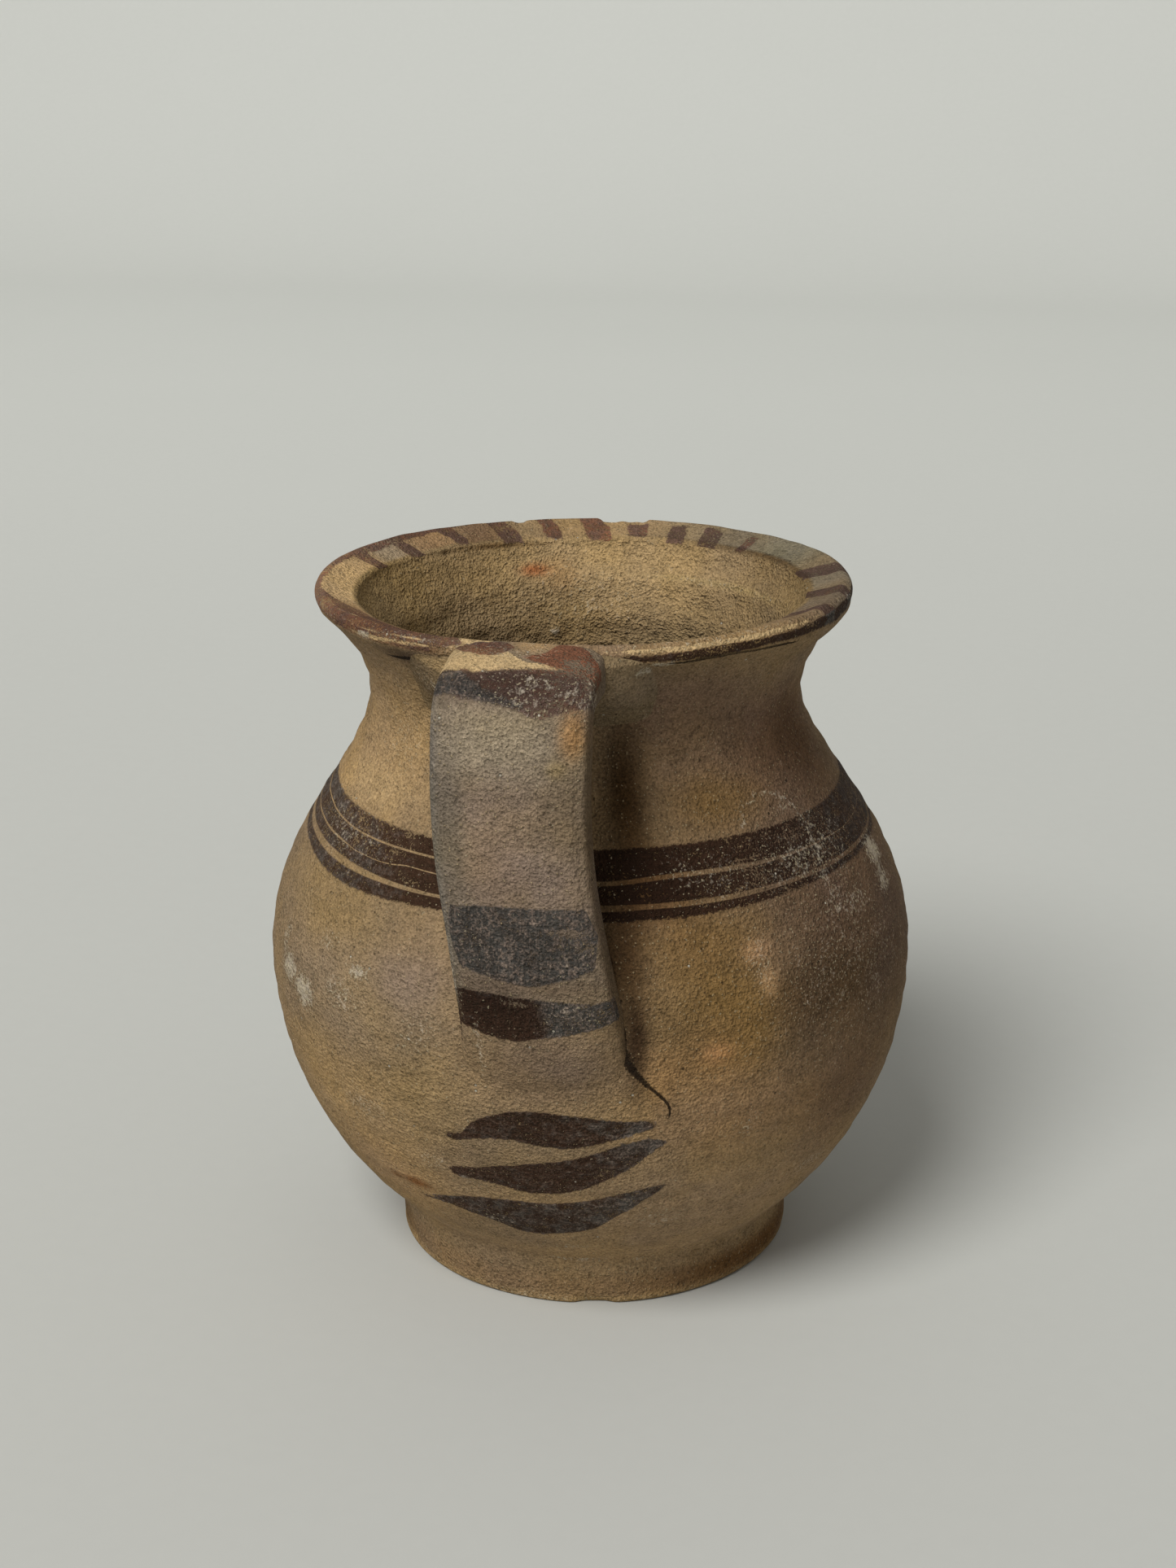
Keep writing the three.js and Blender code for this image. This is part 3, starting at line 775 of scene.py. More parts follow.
# Marks of the foot's wall. Pits: angle, height, spread. Dust: angle, height, spreads, thickness.
# Stains and painted shade: angle, height, spreads, colour, strength; the first is mostly painted shade on
# the side turned away from the lamp, partly the clay's own colour, the second is painted shade on the foot's
# left, and the last one is the worn edge at the ground.
FOOT_PITS = ((-30, 8.2, 0.7), (-26, 7.2, 0.5), (41, 8.4, 1), (45, 7.6, 0.7), (49, 8.6, 0.8), (-14, 6.8, 0.5))
FOOT_DUST = (
    (6, 9.6, 9, 0.6, 0.5), (24, 9.2, 4, 0.5, 0.4), (-12, 0.5, 30, 0.8, 0.35), (30, 0.5, 20, 0.6, 0.3),
)
FOOT_STAINS_AND_SHADE = (
    (62, 4, 34, 12, "64482a", 0.95), (-78, 6, 17, 12, "5a4228", 0.8), (0, 0, 9e9, 1.575, "b09468", 0.6),
)


def foot_shift(places, z):
    """How far the foot's wall strays above the ground: slow noise, small noise and crumbled places."""
    crumbled = np.maximum(lumps(places, 5, 24) - 0.62, 0) * 1.6
    return smooth(0.2, 1.2, z) * (0.3 * lumps(places, 16, 21) + 0.14 * lumps(places, 4, 22) - crumbled)


def foot_notch(theta, z):
    """Depth of the worn notch in the foot's edge, exp(-x^4) round the jug, and of its pits."""
    mm_per_degree = 0.64
    notch = 0.9 * np.exp(-(turn_between(theta, 11) / 5) ** 4) * smooth(2.6, 0.2, z)
    for angle, height, spread in FOOT_PITS:
        notch = notch + 0.6 * bump(turn_between(theta, angle) * mm_per_degree / spread, (z - height) / 0.7)
    return notch


def foot_profile(size, vessel):
    """(radius, height) round the foot's section: the hollow's wall, the resting face, the outer wall,
    a hollow curve out to the belly, and back inside the vessel's own clay."""
    inner, outer, rounding = size.inner_radius, size.bottom_radius, size.rounding
    crease = np.array([size.top_radius, size.crease])
    bend = crease + (0.3, 1.6)
    feather = np.array([outer_radius(np.array(size.feather), vessel) - 0.12, size.feather])
    share = np.linspace(0, 1, 9)[1:, None]
    return np.concatenate([
        along_line([(inner, vessel.underside + 1), (inner, rounding)], np.linspace(0, 1, 8))[:-1],
        arc((inner + rounding, rounding), rounding, 180, 270, 5),
        along_line([(inner + rounding, 0), (outer - rounding, 0)], np.linspace(0, 1, 8))[1:-1],
        arc((outer - rounding, rounding), rounding, 270, 360, 5),
        along_line([(outer, rounding), crease], np.linspace(0, 1, 14))[1:],
        (1 - share) ** 2 * crease + 2 * share * (1 - share) * bend + share ** 2 * feather,
        np.array([(size.top_radius - 2, size.crease + 1), (inner + 4, vessel.underside + 1.4)]),
    ])


class JUG_OT_foot(Operator):
    """Sets the foot ring under the belly"""

    bl_idname = "jug.foot"
    bl_label = "Set the foot ring"

    def execute(self, context):
        size, vessel = in_mm(context.scene.jug_foot), in_mm(context.scene.jug_vessel)
        colours = context.scene.jug_colours
        places, theta, _, z = turned(foot_profile(size, vessel), 400)
        outwards = turned_places(theta, 1.0, 0.0)
        free = smooth(size.feather - 0.5, size.crease - 1.5, z)
        shift = free * foot_shift(places, z) + (1 - free) * pot_shift(places, z, theta, vessel)
        places = places + shift[..., None] * outwards
        notch = foot_notch(theta, z) * (np.hypot(places[..., 0], places[..., 1]) > 34)
        places = places - notch[..., None] * outwards
        colour = spots(theta, z, colours.foot, FOOT_STAINS_AND_SHADE)
        colour = colour * (1 - 0.5 * np.minimum(notch * (z > 3), 1))[..., None]
        worn = smooth(8, 4, z)[..., None]
        colour = colour * worn + (1 - worn) * spots(theta, z, colours.buff, POT_STAINS_AND_SHADE)
        fields = {"coarse": 0.1, "chalk": dusted(theta, z, FOOT_DUST)}
        mesh = ring_mesh("jug_foot", stand(places, vessel), colour, fields, looped=True)
        add_piece("jug_foot", mesh, clay_finish("foot_clay", colours), "foot_ring")
        return {"FINISHED"}


# The strap handle

# Corners of the strap's middle line as (distance from the axis, height); cutting them rounds it
STRAP_CORNERS = (
    (36, 119.6), (50, 120.2), (57.2, 119.2), (58.2, 111), (58.2, 86), (58, 70), (56.3, 58), (50, 46),
)
STRAP_START = 7
# How far the strap's top is raised to the lip's, by place along
STRAP_RAISE = ((6.5, 7.2, 8.4, 10, 12, 15, 19, 22), (-2, -0.8, 0.4, 0.9, 0.9, 0.6, 0.1, 0))

# Grooves along the strap: place across, half width, share of the full depth
STRAP_GROOVES = ((-9.6, 0.4, 0.9), (-10.6, 0.3, 0.6), (-6.7, 0.5, 0.4), (11.4, 0.5, 0.7))
# Painted marks of the strap: place across, place along the middle line, half width
STRAP_STROKES = (
    (
        (-11.6, 58.8, 0.4), (-10.9, 58.9, 4.7), (-9.8, 59, 5.2), (-8, 59.1, 5.7), (-4, 59.4, 6.3),
        (0, 59.7, 6.6), (5, 59.2, 6.1), (10, 58.3, 5.2), (11.6, 58, 4.2), (12.4, 57.8, 0.5),
    ),
    (
        (-14, 20.1, 0.9), (-12, 19.9, 1.4), (-9.5, 20, 1.2), (-6.5, 20.8, 0.8), (-3, 21.4, 0.4),
        (1, 21.9, 0.3), (4, 22.4, 0),
    ),
    (
        (-14.5, 71.2, 3), (-8, 71.8, 3.8), (-4, 72.3, 3.9), (1, 72, 3.4), (6, 71.7, 2.9), (10, 71.2, 2.3),
        (14, 70.4, 1.9),
    ),
)
STRAP_RED = (
    (
        (-10, 20.1, 0.2), (-9, 20.1, 1.2), (-6.5, 20.3, 1.1), (-3, 20.3, 1.4), (1, 20.5, 1.8),
        (5, 20.8, 2.2), (9, 20.5, 1.8), (12, 20.3, 1.4), (15, 20.4, 1.1),
    ),
    (
        (-12.4, 11.4, 0), (-10, 12.2, 1.5), (-7, 12.9, 2.4), (-4, 13, 2.5), (-2.6, 13, 1.4),
        (-1.6, 13, 0),
    ),
    (
        (0.3, 15.7, 0), (2, 15.9, 0.9), (4, 15.4, 2), (5, 14, 3.8), (7, 13.6, 4.5), (9, 14.4, 4),
        (11, 15.8, 2.9), (14, 17.6, 1.4),
    ),
)
STRAP_SLIP = (
    (
        (-13.4, 13, 6), (-10.8, 14.6, 4.8), (-7, 16.1, 3), (-3.7, 16.2, 2.8), (0.5, 17.8, 0.8),
        (4, 17.9, 0.45), (7.6, 18.3, 0.1),
    ),
)
# A thin dark line down the strap's left edge: place along, place across, half width
STRAP_EDGE = ((44, -13, 0), (50, -12.9, 0.3), (66, -12.8, 0.3), (78, -13, 0))
# Worn places and chalky dust: place across, place along, spreads, thickness
STRAP_WORN = (
    (10, 16.6, 3.5, 1.6, 0.3), (8.5, 57, 4, 0.7, 0.45), (10.5, 59, 2.4, 1.6, 0.2), (-13, 70, 1.6, 7, 0.3),
    (-2, 69.5, 4, 0.7, 0.3),
)
STRAP_DUST = (
    (3, 21, 9, 2.4, 0.3), (3, 19.8, 2, 0.8, 0.46), (6, 20.2, 1.6, 0.8, 0.45), (10, 20.5, 3.5, 1.6, 0.36),
    (-1, 20, 5, 1.4, 0.32), (-12.8, 64, 0.8, 9, 0.6), (-12.9, 45, 0.7, 22, 0.36), (8, 61, 4, 2, 0.15),
    (7, 71, 5, 2, 0.28), (-10, 78, 0.8, 6, 0.45), (12.4, 20, 1.4, 2, 0.5), (-3, 14, 9, 3, 0.3),
    (0.5, 10, 1, 3, 0.4),
)
# Broad stains of the strap, and painted shade: place across, place along, spreads, colour, strength
STRAP_STAINS_AND_SHADE = (
    (1.5, 10.5, 4, 4, "a68760", 0.9), (-2, 27, 12, 6.5, "9c8c72", 0.9), (-1, 39, 9, 8, "8e7a68", 0.8),
    (10.4, 25, 2.2, 3.4, "a07a50", 0.9), (-9, 17, 4, 2.5, "b8986a", 0.8),
    (8, 30, 1.6, 1.4, "98835a", 0.6), (-12.8, 45, 2, 34, "6c665c", 0.9), (-9, 42, 2.5, 14, "665f54", 0.6),
    # Painted shade: (13.4, 45) darkens the strap's right side face along its length.
    (-2, 48, 6, 7, "846f5e", 0.6), (9, 46, 4, 16, "75644f", 0.7), (13.4, 45, 1.2, 40, "56442f", 0.8),
    (0, 66.4, 14, 1.8, "6c5b49", 0.8), (-6, 71.6, 8, 4.2, "3c3024", 0.9), (7, 50, 5, 7, "8c7868", 0.5),
    (0, 85, 16, 10, "735f4c", 0.95), (1, 20.3, 14, 2, "51403a", 0.8), (6, 60, 5, 6, "5a5046", 0.5),
)


def cut_corners(points, rounds=4):
    """Chaikin's rounding: each inner corner gives way to points at 1/4 and 3/4 of its edges."""
    points = np.array(points, float)
    for _ in range(rounds):
        start, end = points[:-1], points[1:]
        cut = np.stack([0.75 * start + 0.25 * end, 0.25 * start + 0.75 * end], axis=1).reshape(-1, 2)
        points = np.concatenate([points[:1], cut[1:-1], points[-1:]])
    return points


# How far the strap strays towards +X from its smooth run, and how much its half width grows, by height
STRAP_STRAY = (
    (50, 58, 66, 73, 80, 90, 100, 110, 118, 122), (-1.2, -1.3, -1, -1, -1.1, -1.2, -0.9, -0.6, -0.3, 0),
    (0.9, 1, 0.6, 0.35, 0.1, 0, 0, 0, 0, 0),
)


def strap_drift(z, size):
    """How far the strap's middle stands towards +X: nothing at the neck, most of it at the belly."""
    return size.drift * (1 - smooth(52, 106, z)) + eased(z, *STRAP_STRAY[:2])


def strap_shape(size):
    """Rings of the strap, and each point's place across, place along the middle line and outwardness.

    A rounded oblong is carried along the rounded middle line, square to it, and widens where it lands;
    its outer face is crowned and grooved; noise moves it afterwards, in the strap's operator. It lies
    flat until it nears the belly, whose roundness, R - sqrt(R^2 - x^2), it then follows."""
    line = cut_corners(STRAP_CORNERS)
    full = np.linalg.norm(np.diff(line, axis=0), axis=1).sum()
    rows, columns = 230, 132
    s = np.linspace(STRAP_START, full, rows)[:, None]
    middle = along_line(line, s[:, 0] / full)
    slope = np.gradient(middle, axis=0)
    slope /= np.linalg.norm(slope, axis=1, keepdims=True)
    half_width, half_thickness = size.width / 2, size.thickness / 2
    outline = np.stack(oblong(np.linspace(0, 2 * np.pi, 1200), 0.42), axis=-1) * (half_width, half_thickness)
    section = along_line(outline, np.linspace(0, 1, columns, endpoint=False))
    across, through = section[None, :, 0], section[None, :, 1]
    knots, _, growth = STRAP_STRAY
    widen = 1 + size.flare / size.width * smooth(64, 50, middle[:, 1:]) ** 2
    a = across * (widen + eased(middle[:, 1:], knots, growth) / half_width)
    face = smooth(0, half_thickness, through)
    crown = 0.35 * (1 - (across / half_width) ** 2)
    grooves = sum(depth * bump((across - place) / wide) for place, wide, depth in STRAP_GROOVES)
    out = through + face * (crown - size.groove * grooves)
    radius = middle[:, :1] - out * slope[:, 1:]
    height = middle[:, 1:] + out * slope[:, :1] + eased(s, *STRAP_RAISE) * face
    x = a + strap_drift(height, size)
    bend = size.belly_radius - np.sqrt(size.belly_radius ** 2 - x ** 2)
    places = np.stack([x, bend * smooth(74, 58, height) - radius, height], axis=-1)
    return places, np.broadcast_to(a, x.shape), np.broadcast_to(s, x.shape), face + 0 * x


class JUG_OT_strap(Operator):
    """Pulls the strap handle from the lip to the belly, with its painted bands"""

    bl_idname = "jug.strap"
    bl_label = "Pull the strap"

    def execute(self, context):
        size, vessel = in_mm(context.scene.jug_strap), in_mm(context.scene.jug_vessel)
        colours = context.scene.jug_colours
        size.belly_radius = vessel.belly_radius
        places, a, s, face = strap_shape(size)
        stray = 0.2 * lumps(places, 14, 31) + 0.1 * lumps(places, 4, 32) + 0.06 * lumps(places, 1.5, 33)
        places = places + stray[..., None] * (0.4, -1, 0)
        hidden = (face < 0.05) * 6
        cool = np.where(s < 30, 0.9 * smooth(17.8, 19.4, s), 1 - 0.95 * smooth(66, 68, s) * smooth(4, -1, a))
        wear = 0.12 + 0.12 * smooth(0, 8, a) + 0.12 * (s < 30) * (s > 18)
        fields = {
            "dark": np.maximum(strokes(a, s, STRAP_STROKES), stroke(s, a, STRAP_EDGE)) - hidden,
            "red": strokes(a, s, STRAP_RED) - hidden,
            "slip": strokes(a, s, STRAP_SLIP) - hidden,
            "cool": np.where((s < 16) & (a < 0), 0.6, cool),
            "wear": wear + dusted(a, s, STRAP_WORN),
            "chalk": dusted(a, s, STRAP_DUST),
        }
        theta, z = np.degrees(np.arctan2(places[..., 0], -places[..., 1])), places[..., 2]
        landed = smooth(74, 60, z)[..., None]
        colour = (1 - landed) * spots(a, s, colours.grey, STRAP_STAINS_AND_SHADE)
        colour = colour + landed * spots(theta, z, colours.buff, POT_STAINS_AND_SHADE)
        mesh = ring_mesh("jug_strap", stand(places, vessel), colour, fields)
        finish = clay_finish("strap_clay", colours, (2.2, 2.2, 0.16))
        add_piece("jug_strap", mesh, finish, "strap_handle")
        return {"FINISHED"}


# The clay that holds the strap's ends

def smeared_shape(corner, rise, size, drift):
    """Rings of a smear of clay on the pot's outer face: places, angle, height and distance across.

    Rings grow from the middle of a rounded oblong to its border. Their face stands off the pot by
    rise(across, height) and dips under the pot's face where that is nothing; the rings then come back
    inside the wall, so that the piece is closed."""
    left, right, low, high = corner
    angle = np.linspace(0, 2 * np.pi, 240, endpoint=False)[None, :]
    out = np.linspace(0.01, 1, 110)[:, None]
    across, up = oblong(angle, 0.6)
    a = (left + right) / 2 + (right - left) / 2 * across * out
    z = (low + high) / 2 + (high - low) / 2 * up * out
    radius = np.minimum(outer_radius(z, size), size.rim_radius)
    theta = np.degrees((a + drift(z)) / radius)
    covered = rise(a, z)
    face = off_the_pot(theta, z, covered - 0.3 * smooth(0.25, 0, covered), size)
    back = turned_places(theta, radius - 2.6, z)[::-1]
    both = [np.concatenate([values, values[::-1]]) for values in (theta, z, a)]
    return np.concatenate([face, back]), *both


# Height of the smeared clay over the belly, by height on the jug, in the strap's middle
BELLY_CLAY_RISE = (
    (36, 42, 46, 50, 54, 56, 58, 60, 62, 66, 70, 74),
    (0, 0, 0.25, 0.65, 1.2, 1.55, 1.95, 2.35, 2.75, 3.6, 4.6, 4.6),
)
# Where the smeared clay ends to the left of the strap's middle, by height
BELLY_CLAY_LEFT = ((38, 46, 54, 58, 62, 66, 74), (-25, -25, -22, -19, -16, -14.3, -13.4))


def belly_clay_rise(a, z, drift):
    """The rise by height, faded softly to the left and cut off sharply at the crack to the right."""
    radius = 57.0
    heights, angles, _ = np.array(CRACK).T
    edge = np.radians(eased(z, heights, angles)) * radius - drift(z)
    left = eased(z, *BELLY_CLAY_LEFT)
    share = smooth(edge + 0.25, edge - 0.35, a) * smooth(left, left * 0.62, a)
    lift = np.maximum(eased(z, *BELLY_CLAY_RISE), 0.8 * smooth(47, 51, z) * smooth(edge - 8, edge, a))
    return lift * share * smooth(39, 46, z) * smooth(74, 72.5, z)


# Rise of the clay under the lip beside the strap, by height on the jug
RIM_CLAY_RISE = ((106, 110, 113, 117, 120, 122.5, 124), (0, 0.3, 1.6, 3.8, 3.6, 1.6, 0))


def rim_clay_rise(a, z):
    """The rise by height, full behind the strap and faded to either side."""
    lift = eased(z + 1.9 * smooth(-6, -13, a), *RIM_CLAY_RISE)
    return lift * smooth(-25, -12, a) * smooth(21, 12, a)


# Marks of the clay under the lip: place across, height, spreads, colour and strength, or thickness
RIM_CLAY_STAINS = (
    (17, 118.5, 5, 4, "857259", 0.9), (-17, 115, 10, 6, "6c5a42", 0.9), (-16, 121, 5.5, 0.8, "a0865f", 0.9),
)
RIM_CLAY_DUST = ((-14, 116, 8, 4, 0.36), (19, 121, 3, 0.8, 0.6))
# How far both smears reach: left, right, low, high
RIM_CLAY_EDGES = (-27, 23, 105, 124.2)
BELLY_CLAY_EDGES = (-27, 24, 38, 74)


class JUG_OT_luting(Operator):
    """Smears luting clay round both ends of the strap"""

    bl_idname = "jug.luting"
    bl_label = "Smear the luting clay"

    def execute(self, context):
        size, vessel = in_mm(context.scene.jug_strap), in_mm(context.scene.jug_vessel)
        colours = context.scene.jug_colours
        finish = clay_finish("luting_clay", colours)
        places, theta, z, a = smeared_shape(RIM_CLAY_EDGES, rim_clay_rise, vessel, np.zeros_like)
        places = places + 0.25 * lumps(places, 4, 41)[..., None] * (0.3, -1, 0.3)
        colour = spots(a, z, colours.luting, RIM_CLAY_STAINS)
        fields = {"coarse": 0.3, "chalk": dusted(a, z, RIM_CLAY_DUST)}
        mesh = ring_mesh("jug_rim_clay", stand(places, vessel), colour, fields)
        add_piece("jug_rim_clay", mesh, finish, "rim_lute")

        def drift(z):
            return strap_drift(z, size)

        def rise(a, z):
            return belly_clay_rise(a, z, drift)

        places, theta, z, a = smeared_shape(BELLY_CLAY_EDGES, rise, vessel, drift)
        outside = np.full(z.shape, OUTSIDE)
        fields = vessel_paint(theta, z, outer_radius(z, vessel), outside, vessel)
        colour = spots(theta, z, colours.buff, POT_STAINS_AND_SHADE)
        mesh = ring_mesh("jug_belly_clay", stand(places, vessel), colour, fields)
        add_piece("jug_belly_clay", mesh, finish, "belly_lute")
        return {"FINISHED"}


# Materials

class Wire:
    """A socket of a finish's node tree; arithmetic on it adds Math nodes."""

    def __init__(self, finish, socket):
        self.finish = finish
        self.socket = socket

    def __add__(self, other):
        return self.finish.math("ADD", self, other)

    def __sub__(self, other):
        return self.finish.math("SUBTRACT", self, other)

    def __rsub__(self, other):
        return self.finish.math("SUBTRACT", other, self)

    def __mul__(self, other):
        return self.finish.math("MULTIPLY", self, other)

    def __abs__(self):
        return self.finish.math("ABSOLUTE", self)

    __radd__ = __add__
    __rmul__ = __mul__


def rgba(colour):
    """A hex code or a setting as a colour socket's value; a wire stays as it is."""
    if isinstance(colour, Wire):
        return colour
    colour = linear(colour) if isinstance(colour, str) else tuple(colour)
    return (*colour[:3], 1.0)


class Finish:
    """One material and its node tree."""

    def __init__(self, name):
        self.material = bpy.data.materials.new(name)
        self.material.use_nodes = True
        self.tree = self.material.node_tree
        self.tree.nodes.clear()

    def node(self, kind, settings, values, out=0):
        """Adds a node: its settings first, then its sockets' values or wires; gives one output."""
        node = self.tree.nodes.new(kind)
        for key, value in settings.items():
            setattr(node, key, value)
        for key, value in values.items():
            if isinstance(value, Wire):
                self.tree.links.new(value.socket, node.inputs[key])
            else:
                node.inputs[key].default_value = value
        return Wire(self, node.outputs[out]) if node.outputs else node

    def math(self, operation, *values):
        return self.node("ShaderNodeMath", {"operation": operation}, dict(enumerate(values)))

    def field(self, name, out="Fac"):
        return self.node("ShaderNodeAttribute", {"attribute_name": name}, {}, out)

    def noise(self, place, size, detail=2.0):
        """Noise from 0 to 1 whose features are about size millimetres."""
        values = {"Vector": place, "Scale": 1 / size, "Detail": detail, "Roughness": 0.55}
        return self.node("ShaderNodeTexNoise", {}, values)

    def step(self, value, low, high):
        """Smoothstep from 0 at low to 1 at high; low may be above high."""
        first, last = (0.0, 1.0) if low < high else (1.0, 0.0)
        values = {0: value, 1: min(low, high), 2: max(low, high), 3: first, 4: last}
        return self.node("ShaderNodeMapRange", {"interpolation_type": "SMOOTHSTEP"}, values)

    def blend(self, share, first, second):
        values = {0: share, 6: rgba(first), 7: rgba(second)}
        return self.node("ShaderNodeMix", {"data_type": "RGBA"}, values, 2)

    def layers(self, colour, *layers):
        """A colour under layers of other colours, each a share and a colour."""
        for share, over in layers:
            colour = self.blend(share, colour, over)
        return colour

    def times(self, first, second):
        """A colour or a vector times another, part by part."""
        return self.node("ShaderNodeVectorMath", {"operation": "MULTIPLY"}, {0: first, 1: second})

    def scale(self, colour, factor):
        """A colour or a vector times a number."""
        colour = colour if isinstance(colour, Wire) else tuple(colour)[:3]
        return self.node("ShaderNodeVectorMath", {"operation": "SCALE"}, {0: colour, "Scale": factor})

    def grains(self, place, size, rarity, radius, more=0.0):
        """Round grains or holes: 1 inside a cell's middle, in the share of the cells over rarity."""
        cell = self.node("ShaderNodeTexVoronoi", {}, {"Vector": place, "Scale": 1 / size})
        own_colour = Wire(self, cell.socket.node.outputs["Color"])
        chance = self.node("ShaderNodeSeparateColor", {}, {0: own_colour})
        return self.step(cell, radius, radius * 0.6) * self.step(chance + more, rarity, rarity + 0.02)

    def surface(self, values):
        """Ends the tree in a shader with those values, and gives the material."""
        shader = self.node("ShaderNodeBsdfPrincipled", {}, values)
        self.node("ShaderNodeOutputMaterial", {}, {"Surface": shader})
        return self.material


def clay_finish(name, colours, drag=(0.12, 0.12, 1.3)):
    """Sandy fired clay with matt paint.

    The clay attribute gives the broad colour, with its painted shade; noise of three sizes, pale and dark
    grains and pits go over it. Each painted mark is its signed distance plus noise, through a narrow
    smoothstep, less the bare lines and the places where the paint has flaked off; the paint darkens with
    the clay's lightness. Chalky dust lies over all of it, and cracks are near-black, painted shade inside
    them. drag stretches the brush marks: features are 1 / drag millimetres long."""
    finish = Finish(name)
    noise, grains, step, field = finish.noise, finish.grains, finish.step, finish.field
    place = finish.scale(finish.node("ShaderNodeTexCoord", {}, {}, "Object"), 1 / MM)
    broad = noise(place, 14) - 0.5
    middle = noise(place, 2.8, 3) - 0.5
    grain = noise(place, 0.4) - 0.5
    fine = noise(place, 0.95, 3) - 0.5
    sand = finish.node("ShaderNodeTexVoronoi", {}, {"Vector": place, "Scale": 1 / 0.7})
    streak = noise(finish.times(place, drag), 1, 3) - 0.5
    chalk = field("chalk")
    pale_grains = grains(place, 0.7, 0.72, 0.32, chalk * 0.3)
    dark_grains = grains(place, 0.85, 0.78, 0.28)
    small_specks = step(noise(place, 0.5, 1) + 0.3 * chalk, 0.7, 0.76)
    white_specks = grains(place, 2, 0.95, 0.13, chalk * 0.3)
    pits = grains(place, 2, 0.88, 0.14)

    tone = 1.11 + 0.5 * broad + 0.6 * middle + 1.7 * grain + 0.8 * fine + 0.25 * streak - 0.16 * (sand - 0.4)
    hue = finish.blend(step(noise(place, 15, 3), 0.3, 0.7), (0.97, 0.985, 1.06), (1.03, 1.01, 0.93))
    clay = finish.scale(finish.times(field("clay", "Color"), hue), tone)
    clay = finish.layers(
        clay, (pale_grains * 0.4, "c2ab84"), (dark_grains * 0.45, "453628"), (pits * 0.75, "2a1f16")
    )

    ragged = 0.9 * fine + 0.9 * grain
    flaked = 1.7 * grain + 0.9 * middle + 0.5 * broad + 0.6 * streak + 0.5
    kept = step(flaked - field("wear"), -0.07, 0.09)

    def mark(key):
        return step(field(key) + ragged, -0.16, 0.16)

    def off_the_line(key):
        return 1 - step(abs(field(key)) + ragged * 0.5, 1.25, 0.75)

    painted = off_the_line("gap_upper") * off_the_line("gap_hair") * off_the_line("gap_lower")
    dark = mark("dark") * painted * kept * 0.96
    red = mark("red") * kept * 0.88
    # The paint darkens with the clay colour's lightness, so the painted shade in the stains darkens the
    # paint over them too; noise varies it as well.
    light = finish.node("ShaderNodeSeparateColor", {}, {0: field("clay", "Color")}, 1)
    depth = (1.12 + 1.5 * streak + 2.4 * grain + 1.2 * middle) * (0.3 + 4.3 * light)
    cool = field("cool")
    blotched = step(cool + 1.3 * middle + 0.8 * fine + 0.5 * broad, 0.15, 0.95)
    wisps = step(fine + 0.8 * grain + 0.2 * streak, -0.12, 0.4) * cool * 0.85
    dark_paint = finish.layers(colours.warm_paint, (blotched, colours.cool_paint), (wisps, "7c6a5e"))
    red_paint = finish.blend(blotched, colours.red_paint, colours.purple_paint)
    dusty = step(chalk + 1.5 * fine + 1.2 * grain + 0.6 * middle, 0.35, 0.9)
    # Cracks are darkened to near-black: painted shade inside them.
    crack_shade = step(abs(field("crack")) + ragged, 1.2, 0.5) * field("open")
    colour = finish.layers(
        clay,
        (mark("slip") * 0.85, finish.scale(colours.slip, tone)),
        (red, finish.scale(red_paint, depth)),
        (dark, finish.scale(dark_paint, depth)),
        (dusty * 0.66, "c4b8a6"),
        (small_specks * 0.44, "c9bb9c"),
        (white_specks * 0.7, "d8cfbc"),
        (crack_shade * 0.9, "1c140e"),
    )

    relief = 0.5 * grain + 0.48 * fine + 0.25 * streak + 0.3 * middle - 0.25 * sand
    relief = relief + 0.2 * pale_grains - 0.12 * dark_grains - 0.3 * pits - 0.5 * crack_shade
    relief = relief + 0.12 * (small_specks + white_specks) + 0.03 * (dark + red + dusty)
    relief = relief + field("coarse") * (0.8 * noise(place, 1.6))
    normal = finish.node("ShaderNodeBump", {}, {"Strength": 1.0, "Distance": MM, "Height": relief}, "Normal")
    roughness = 0.92 - 0.14 * dark - 0.1 * grain
    return finish.surface(
        {"Base Color": colour, "Roughness": roughness, "Normal": normal, "Specular IOR Level": 0.08}
    )


# The stage

def look_at(thing, target):
    """Turns a lamp towards a place."""
    thing.rotation_euler = (Vector(target) - thing.location).to_track_quat("-Z", "Y").to_euler()


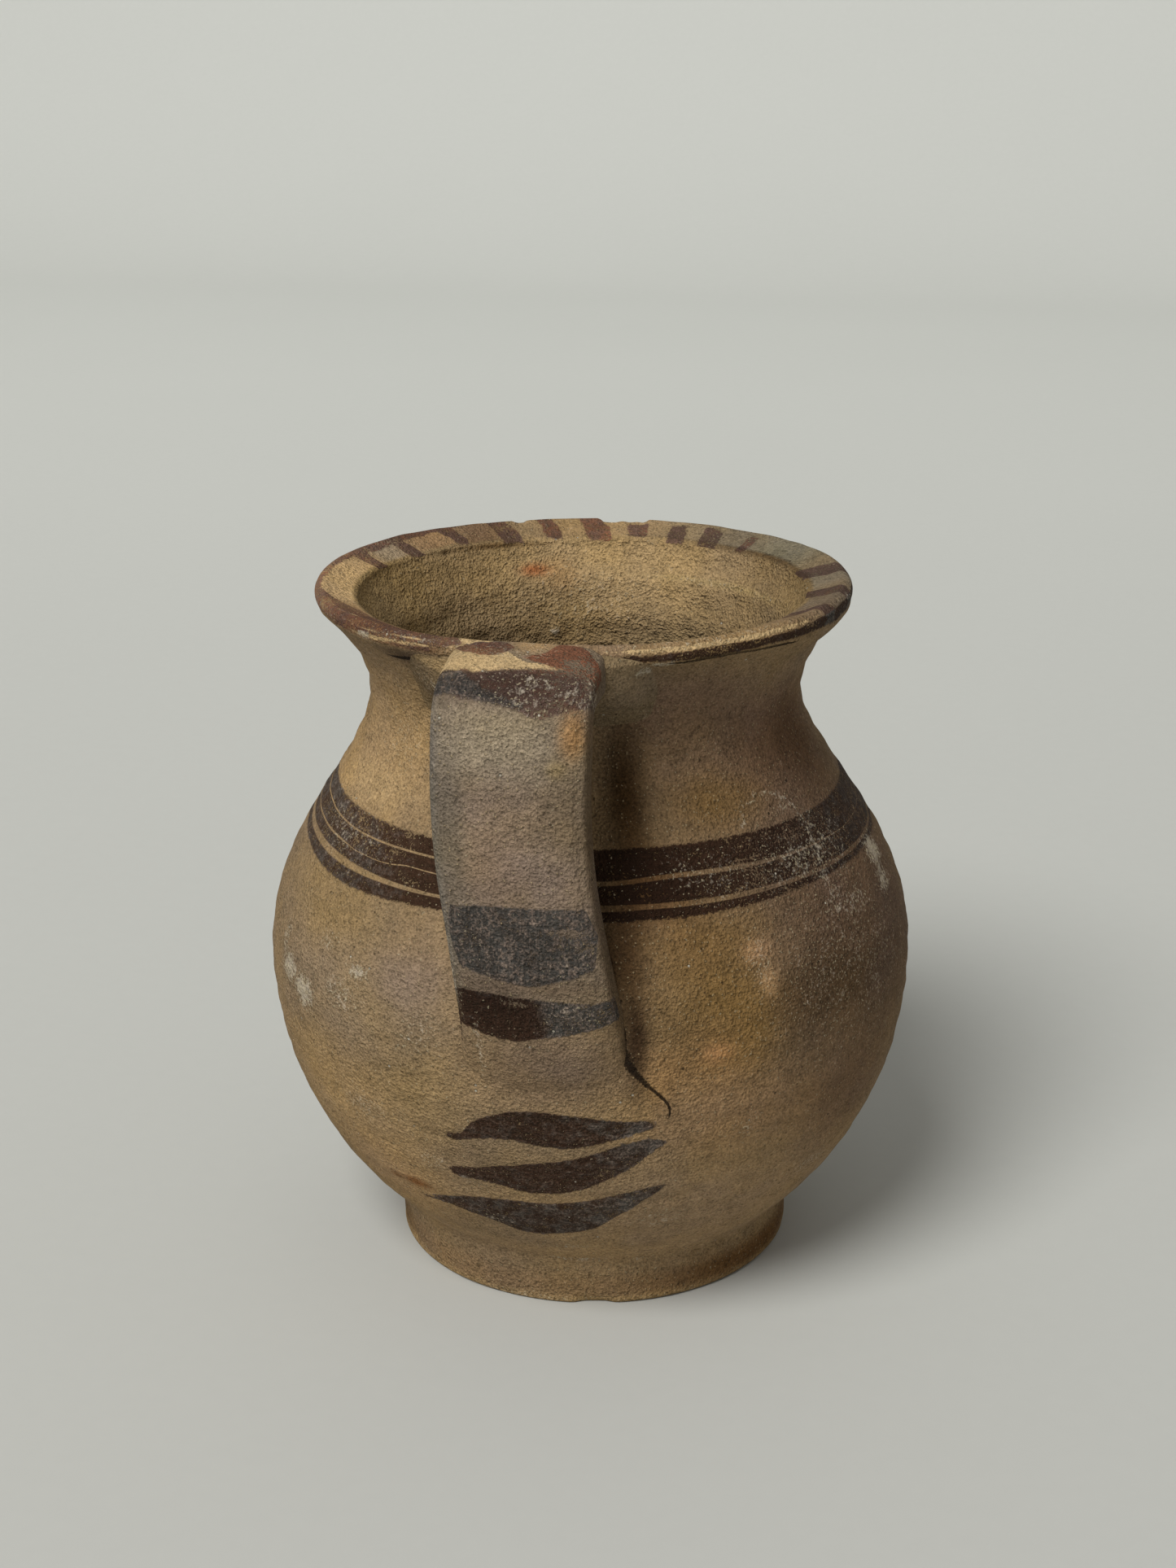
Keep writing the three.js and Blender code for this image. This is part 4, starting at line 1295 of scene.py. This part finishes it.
def paper_sweep(stage):
    """One sheet of paper: flat under the jug, then bent up through a quarter circle behind it."""
    bend, back, front, half_width, top = 0.5, 1.3, -1.2, 2.2, 2.6
    turn = np.radians(np.linspace(0, 90, 24))
    y = np.concatenate([np.linspace(front, back, 12), back + bend * np.sin(turn)[1:], [back + bend]])
    z = np.concatenate([np.zeros(12), bend * (1 - np.cos(turn))[1:], [top]])
    grid_x, grid_y = np.meshgrid(np.linspace(-half_width, half_width, 12), y)
    places = np.stack([grid_x, grid_y, np.broadcast_to(z[:, None], grid_x.shape)], axis=-1)
    mesh = bpy.data.meshes.new("paper_sweep")
    mesh.from_pydata(places.reshape(-1, 3).tolist(), [], grid_faces(*grid_x.shape, False, False))
    mesh.shade_smooth()
    finish = Finish("paper")
    place = finish.node("ShaderNodeTexCoord", {}, {}, "Object")
    tone = 0.97 + 0.03 * finish.noise(place, 0.004, 3) + 0.03 * finish.noise(place, 0.25)
    # The paper turns lighter towards the back: painted light on one sheet.
    depth = finish.node("ShaderNodeSeparateXYZ", {}, {0: place}, "Y")
    paper = finish.scale(finish.blend(finish.step(depth, -0.3, 1.2), stage.paper, stage.far_paper), tone)
    values = {"Base Color": paper, "Roughness": 0.9, "Specular IOR Level": 0.1}
    mesh.materials.append(finish.surface(values))
    sweep = bpy.data.objects.new("paper_sweep", mesh)
    bpy.context.scene.collection.objects.link(sweep)


# The camera: its place from the foot's middle and its turn, fitted to the photograph's outline
CAMERA_PLACE = (0.07929, -0.41306, 0.2294)
CAMERA_TURN = (90 - 18.8, 0, 11)
# The soft lamp: turn round the jug and rise in degrees, distance
LAMP_TURN, LAMP_RISE, LAMP_AWAY = -22, 50, 3.0


class JUG_OT_stage(Operator):
    """Lays out the paper, the soft lamp, the even light and the camera"""

    bl_idname = "jug.stage"
    bl_label = "Set the stage"

    def execute(self, context):
        scene = context.scene
        stage = scene.jug_stage
        paper_sweep(stage)
        low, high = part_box("foot_ring")
        foot = Vector(((low.x + high.x) / 2, (low.y + high.y) / 2, 0))
        lamp = bpy.data.lights.new("window_lamp", "AREA")
        lamp.shape = "DISK"
        lamp.size = 1.5
        lamp.energy = stage.key_power
        lamp.color = (1.0, 0.995, 0.97)
        window = bpy.data.objects.new("window_lamp", lamp)
        rise = np.radians(LAMP_RISE)
        towards = turned_places(LAMP_TURN, np.cos(rise), np.sin(rise))
        window.location = foot + LAMP_AWAY * Vector(towards)
        look_at(window, foot + Vector((0, 0, 0.06)))
        scene.collection.objects.link(window)
        world = bpy.data.worlds.new("even_light")
        world.use_nodes = True
        background = world.node_tree.nodes["Background"]
        background.inputs["Color"].default_value = (1.0, 0.975, 0.935, 1.0)
        background.inputs["Strength"].default_value = stage.sky
        scene.world = world
        lens = bpy.data.cameras.new("photo_camera")
        lens.lens = stage.focal
        lens.sensor_width = 36
        camera = bpy.data.objects.new("photo_camera", lens)
        camera.location = foot + Vector(CAMERA_PLACE)
        camera.rotation_euler = np.radians(CAMERA_TURN)
        scene.collection.objects.link(camera)
        scene.camera = camera
        scene.view_settings.view_transform = "Standard"
        return {"FINISHED"}


class JUG_PT_pieces(Panel):
    """Lists the jug's pieces and their sizes"""

    bl_idname = "JUG_PT_pieces"
    bl_label = "Painted clay jug"
    bl_space_type = "VIEW_3D"
    bl_region_type = "UI"
    bl_category = "Jug"

    def draw(self, context):
        for group in ("jug_vessel", "jug_foot", "jug_strap", "jug_colours", "jug_stage"):
            box = self.layout.box()
            settings = getattr(context.scene, group)
            for key in settings.__annotations__:
                box.prop(settings, key)
        for operator in OPERATORS:
            self.layout.operator(operator.bl_idname)


OPERATORS = (JUG_OT_vessel, JUG_OT_foot, JUG_OT_strap, JUG_OT_luting, JUG_OT_stage)
GROUPS = {
    "jug_vessel": JugVesselSizes,
    "jug_foot": JugFootSizes,
    "jug_strap": JugStrapSizes,
    "jug_colours": JugColours,
    "jug_stage": JugStage,
}


def register():
    for name, group in GROUPS.items():
        bpy.utils.register_class(group)
        setattr(bpy.types.Scene, name, PointerProperty(type=group))
    for cls in (*OPERATORS, JUG_PT_pieces):
        bpy.utils.register_class(cls)


def unregister():
    for cls in (JUG_PT_pieces, *reversed(OPERATORS)):
        bpy.utils.unregister_class(cls)
    for name, group in reversed(GROUPS.items()):
        delattr(bpy.types.Scene, name)
        bpy.utils.unregister_class(group)


def main():
    register()
    bpy.ops.jug.vessel()
    bpy.ops.jug.foot()
    bpy.ops.jug.strap()
    bpy.ops.jug.luting()
    bpy.ops.jug.stage()


if __name__ == "__main__":
    main()
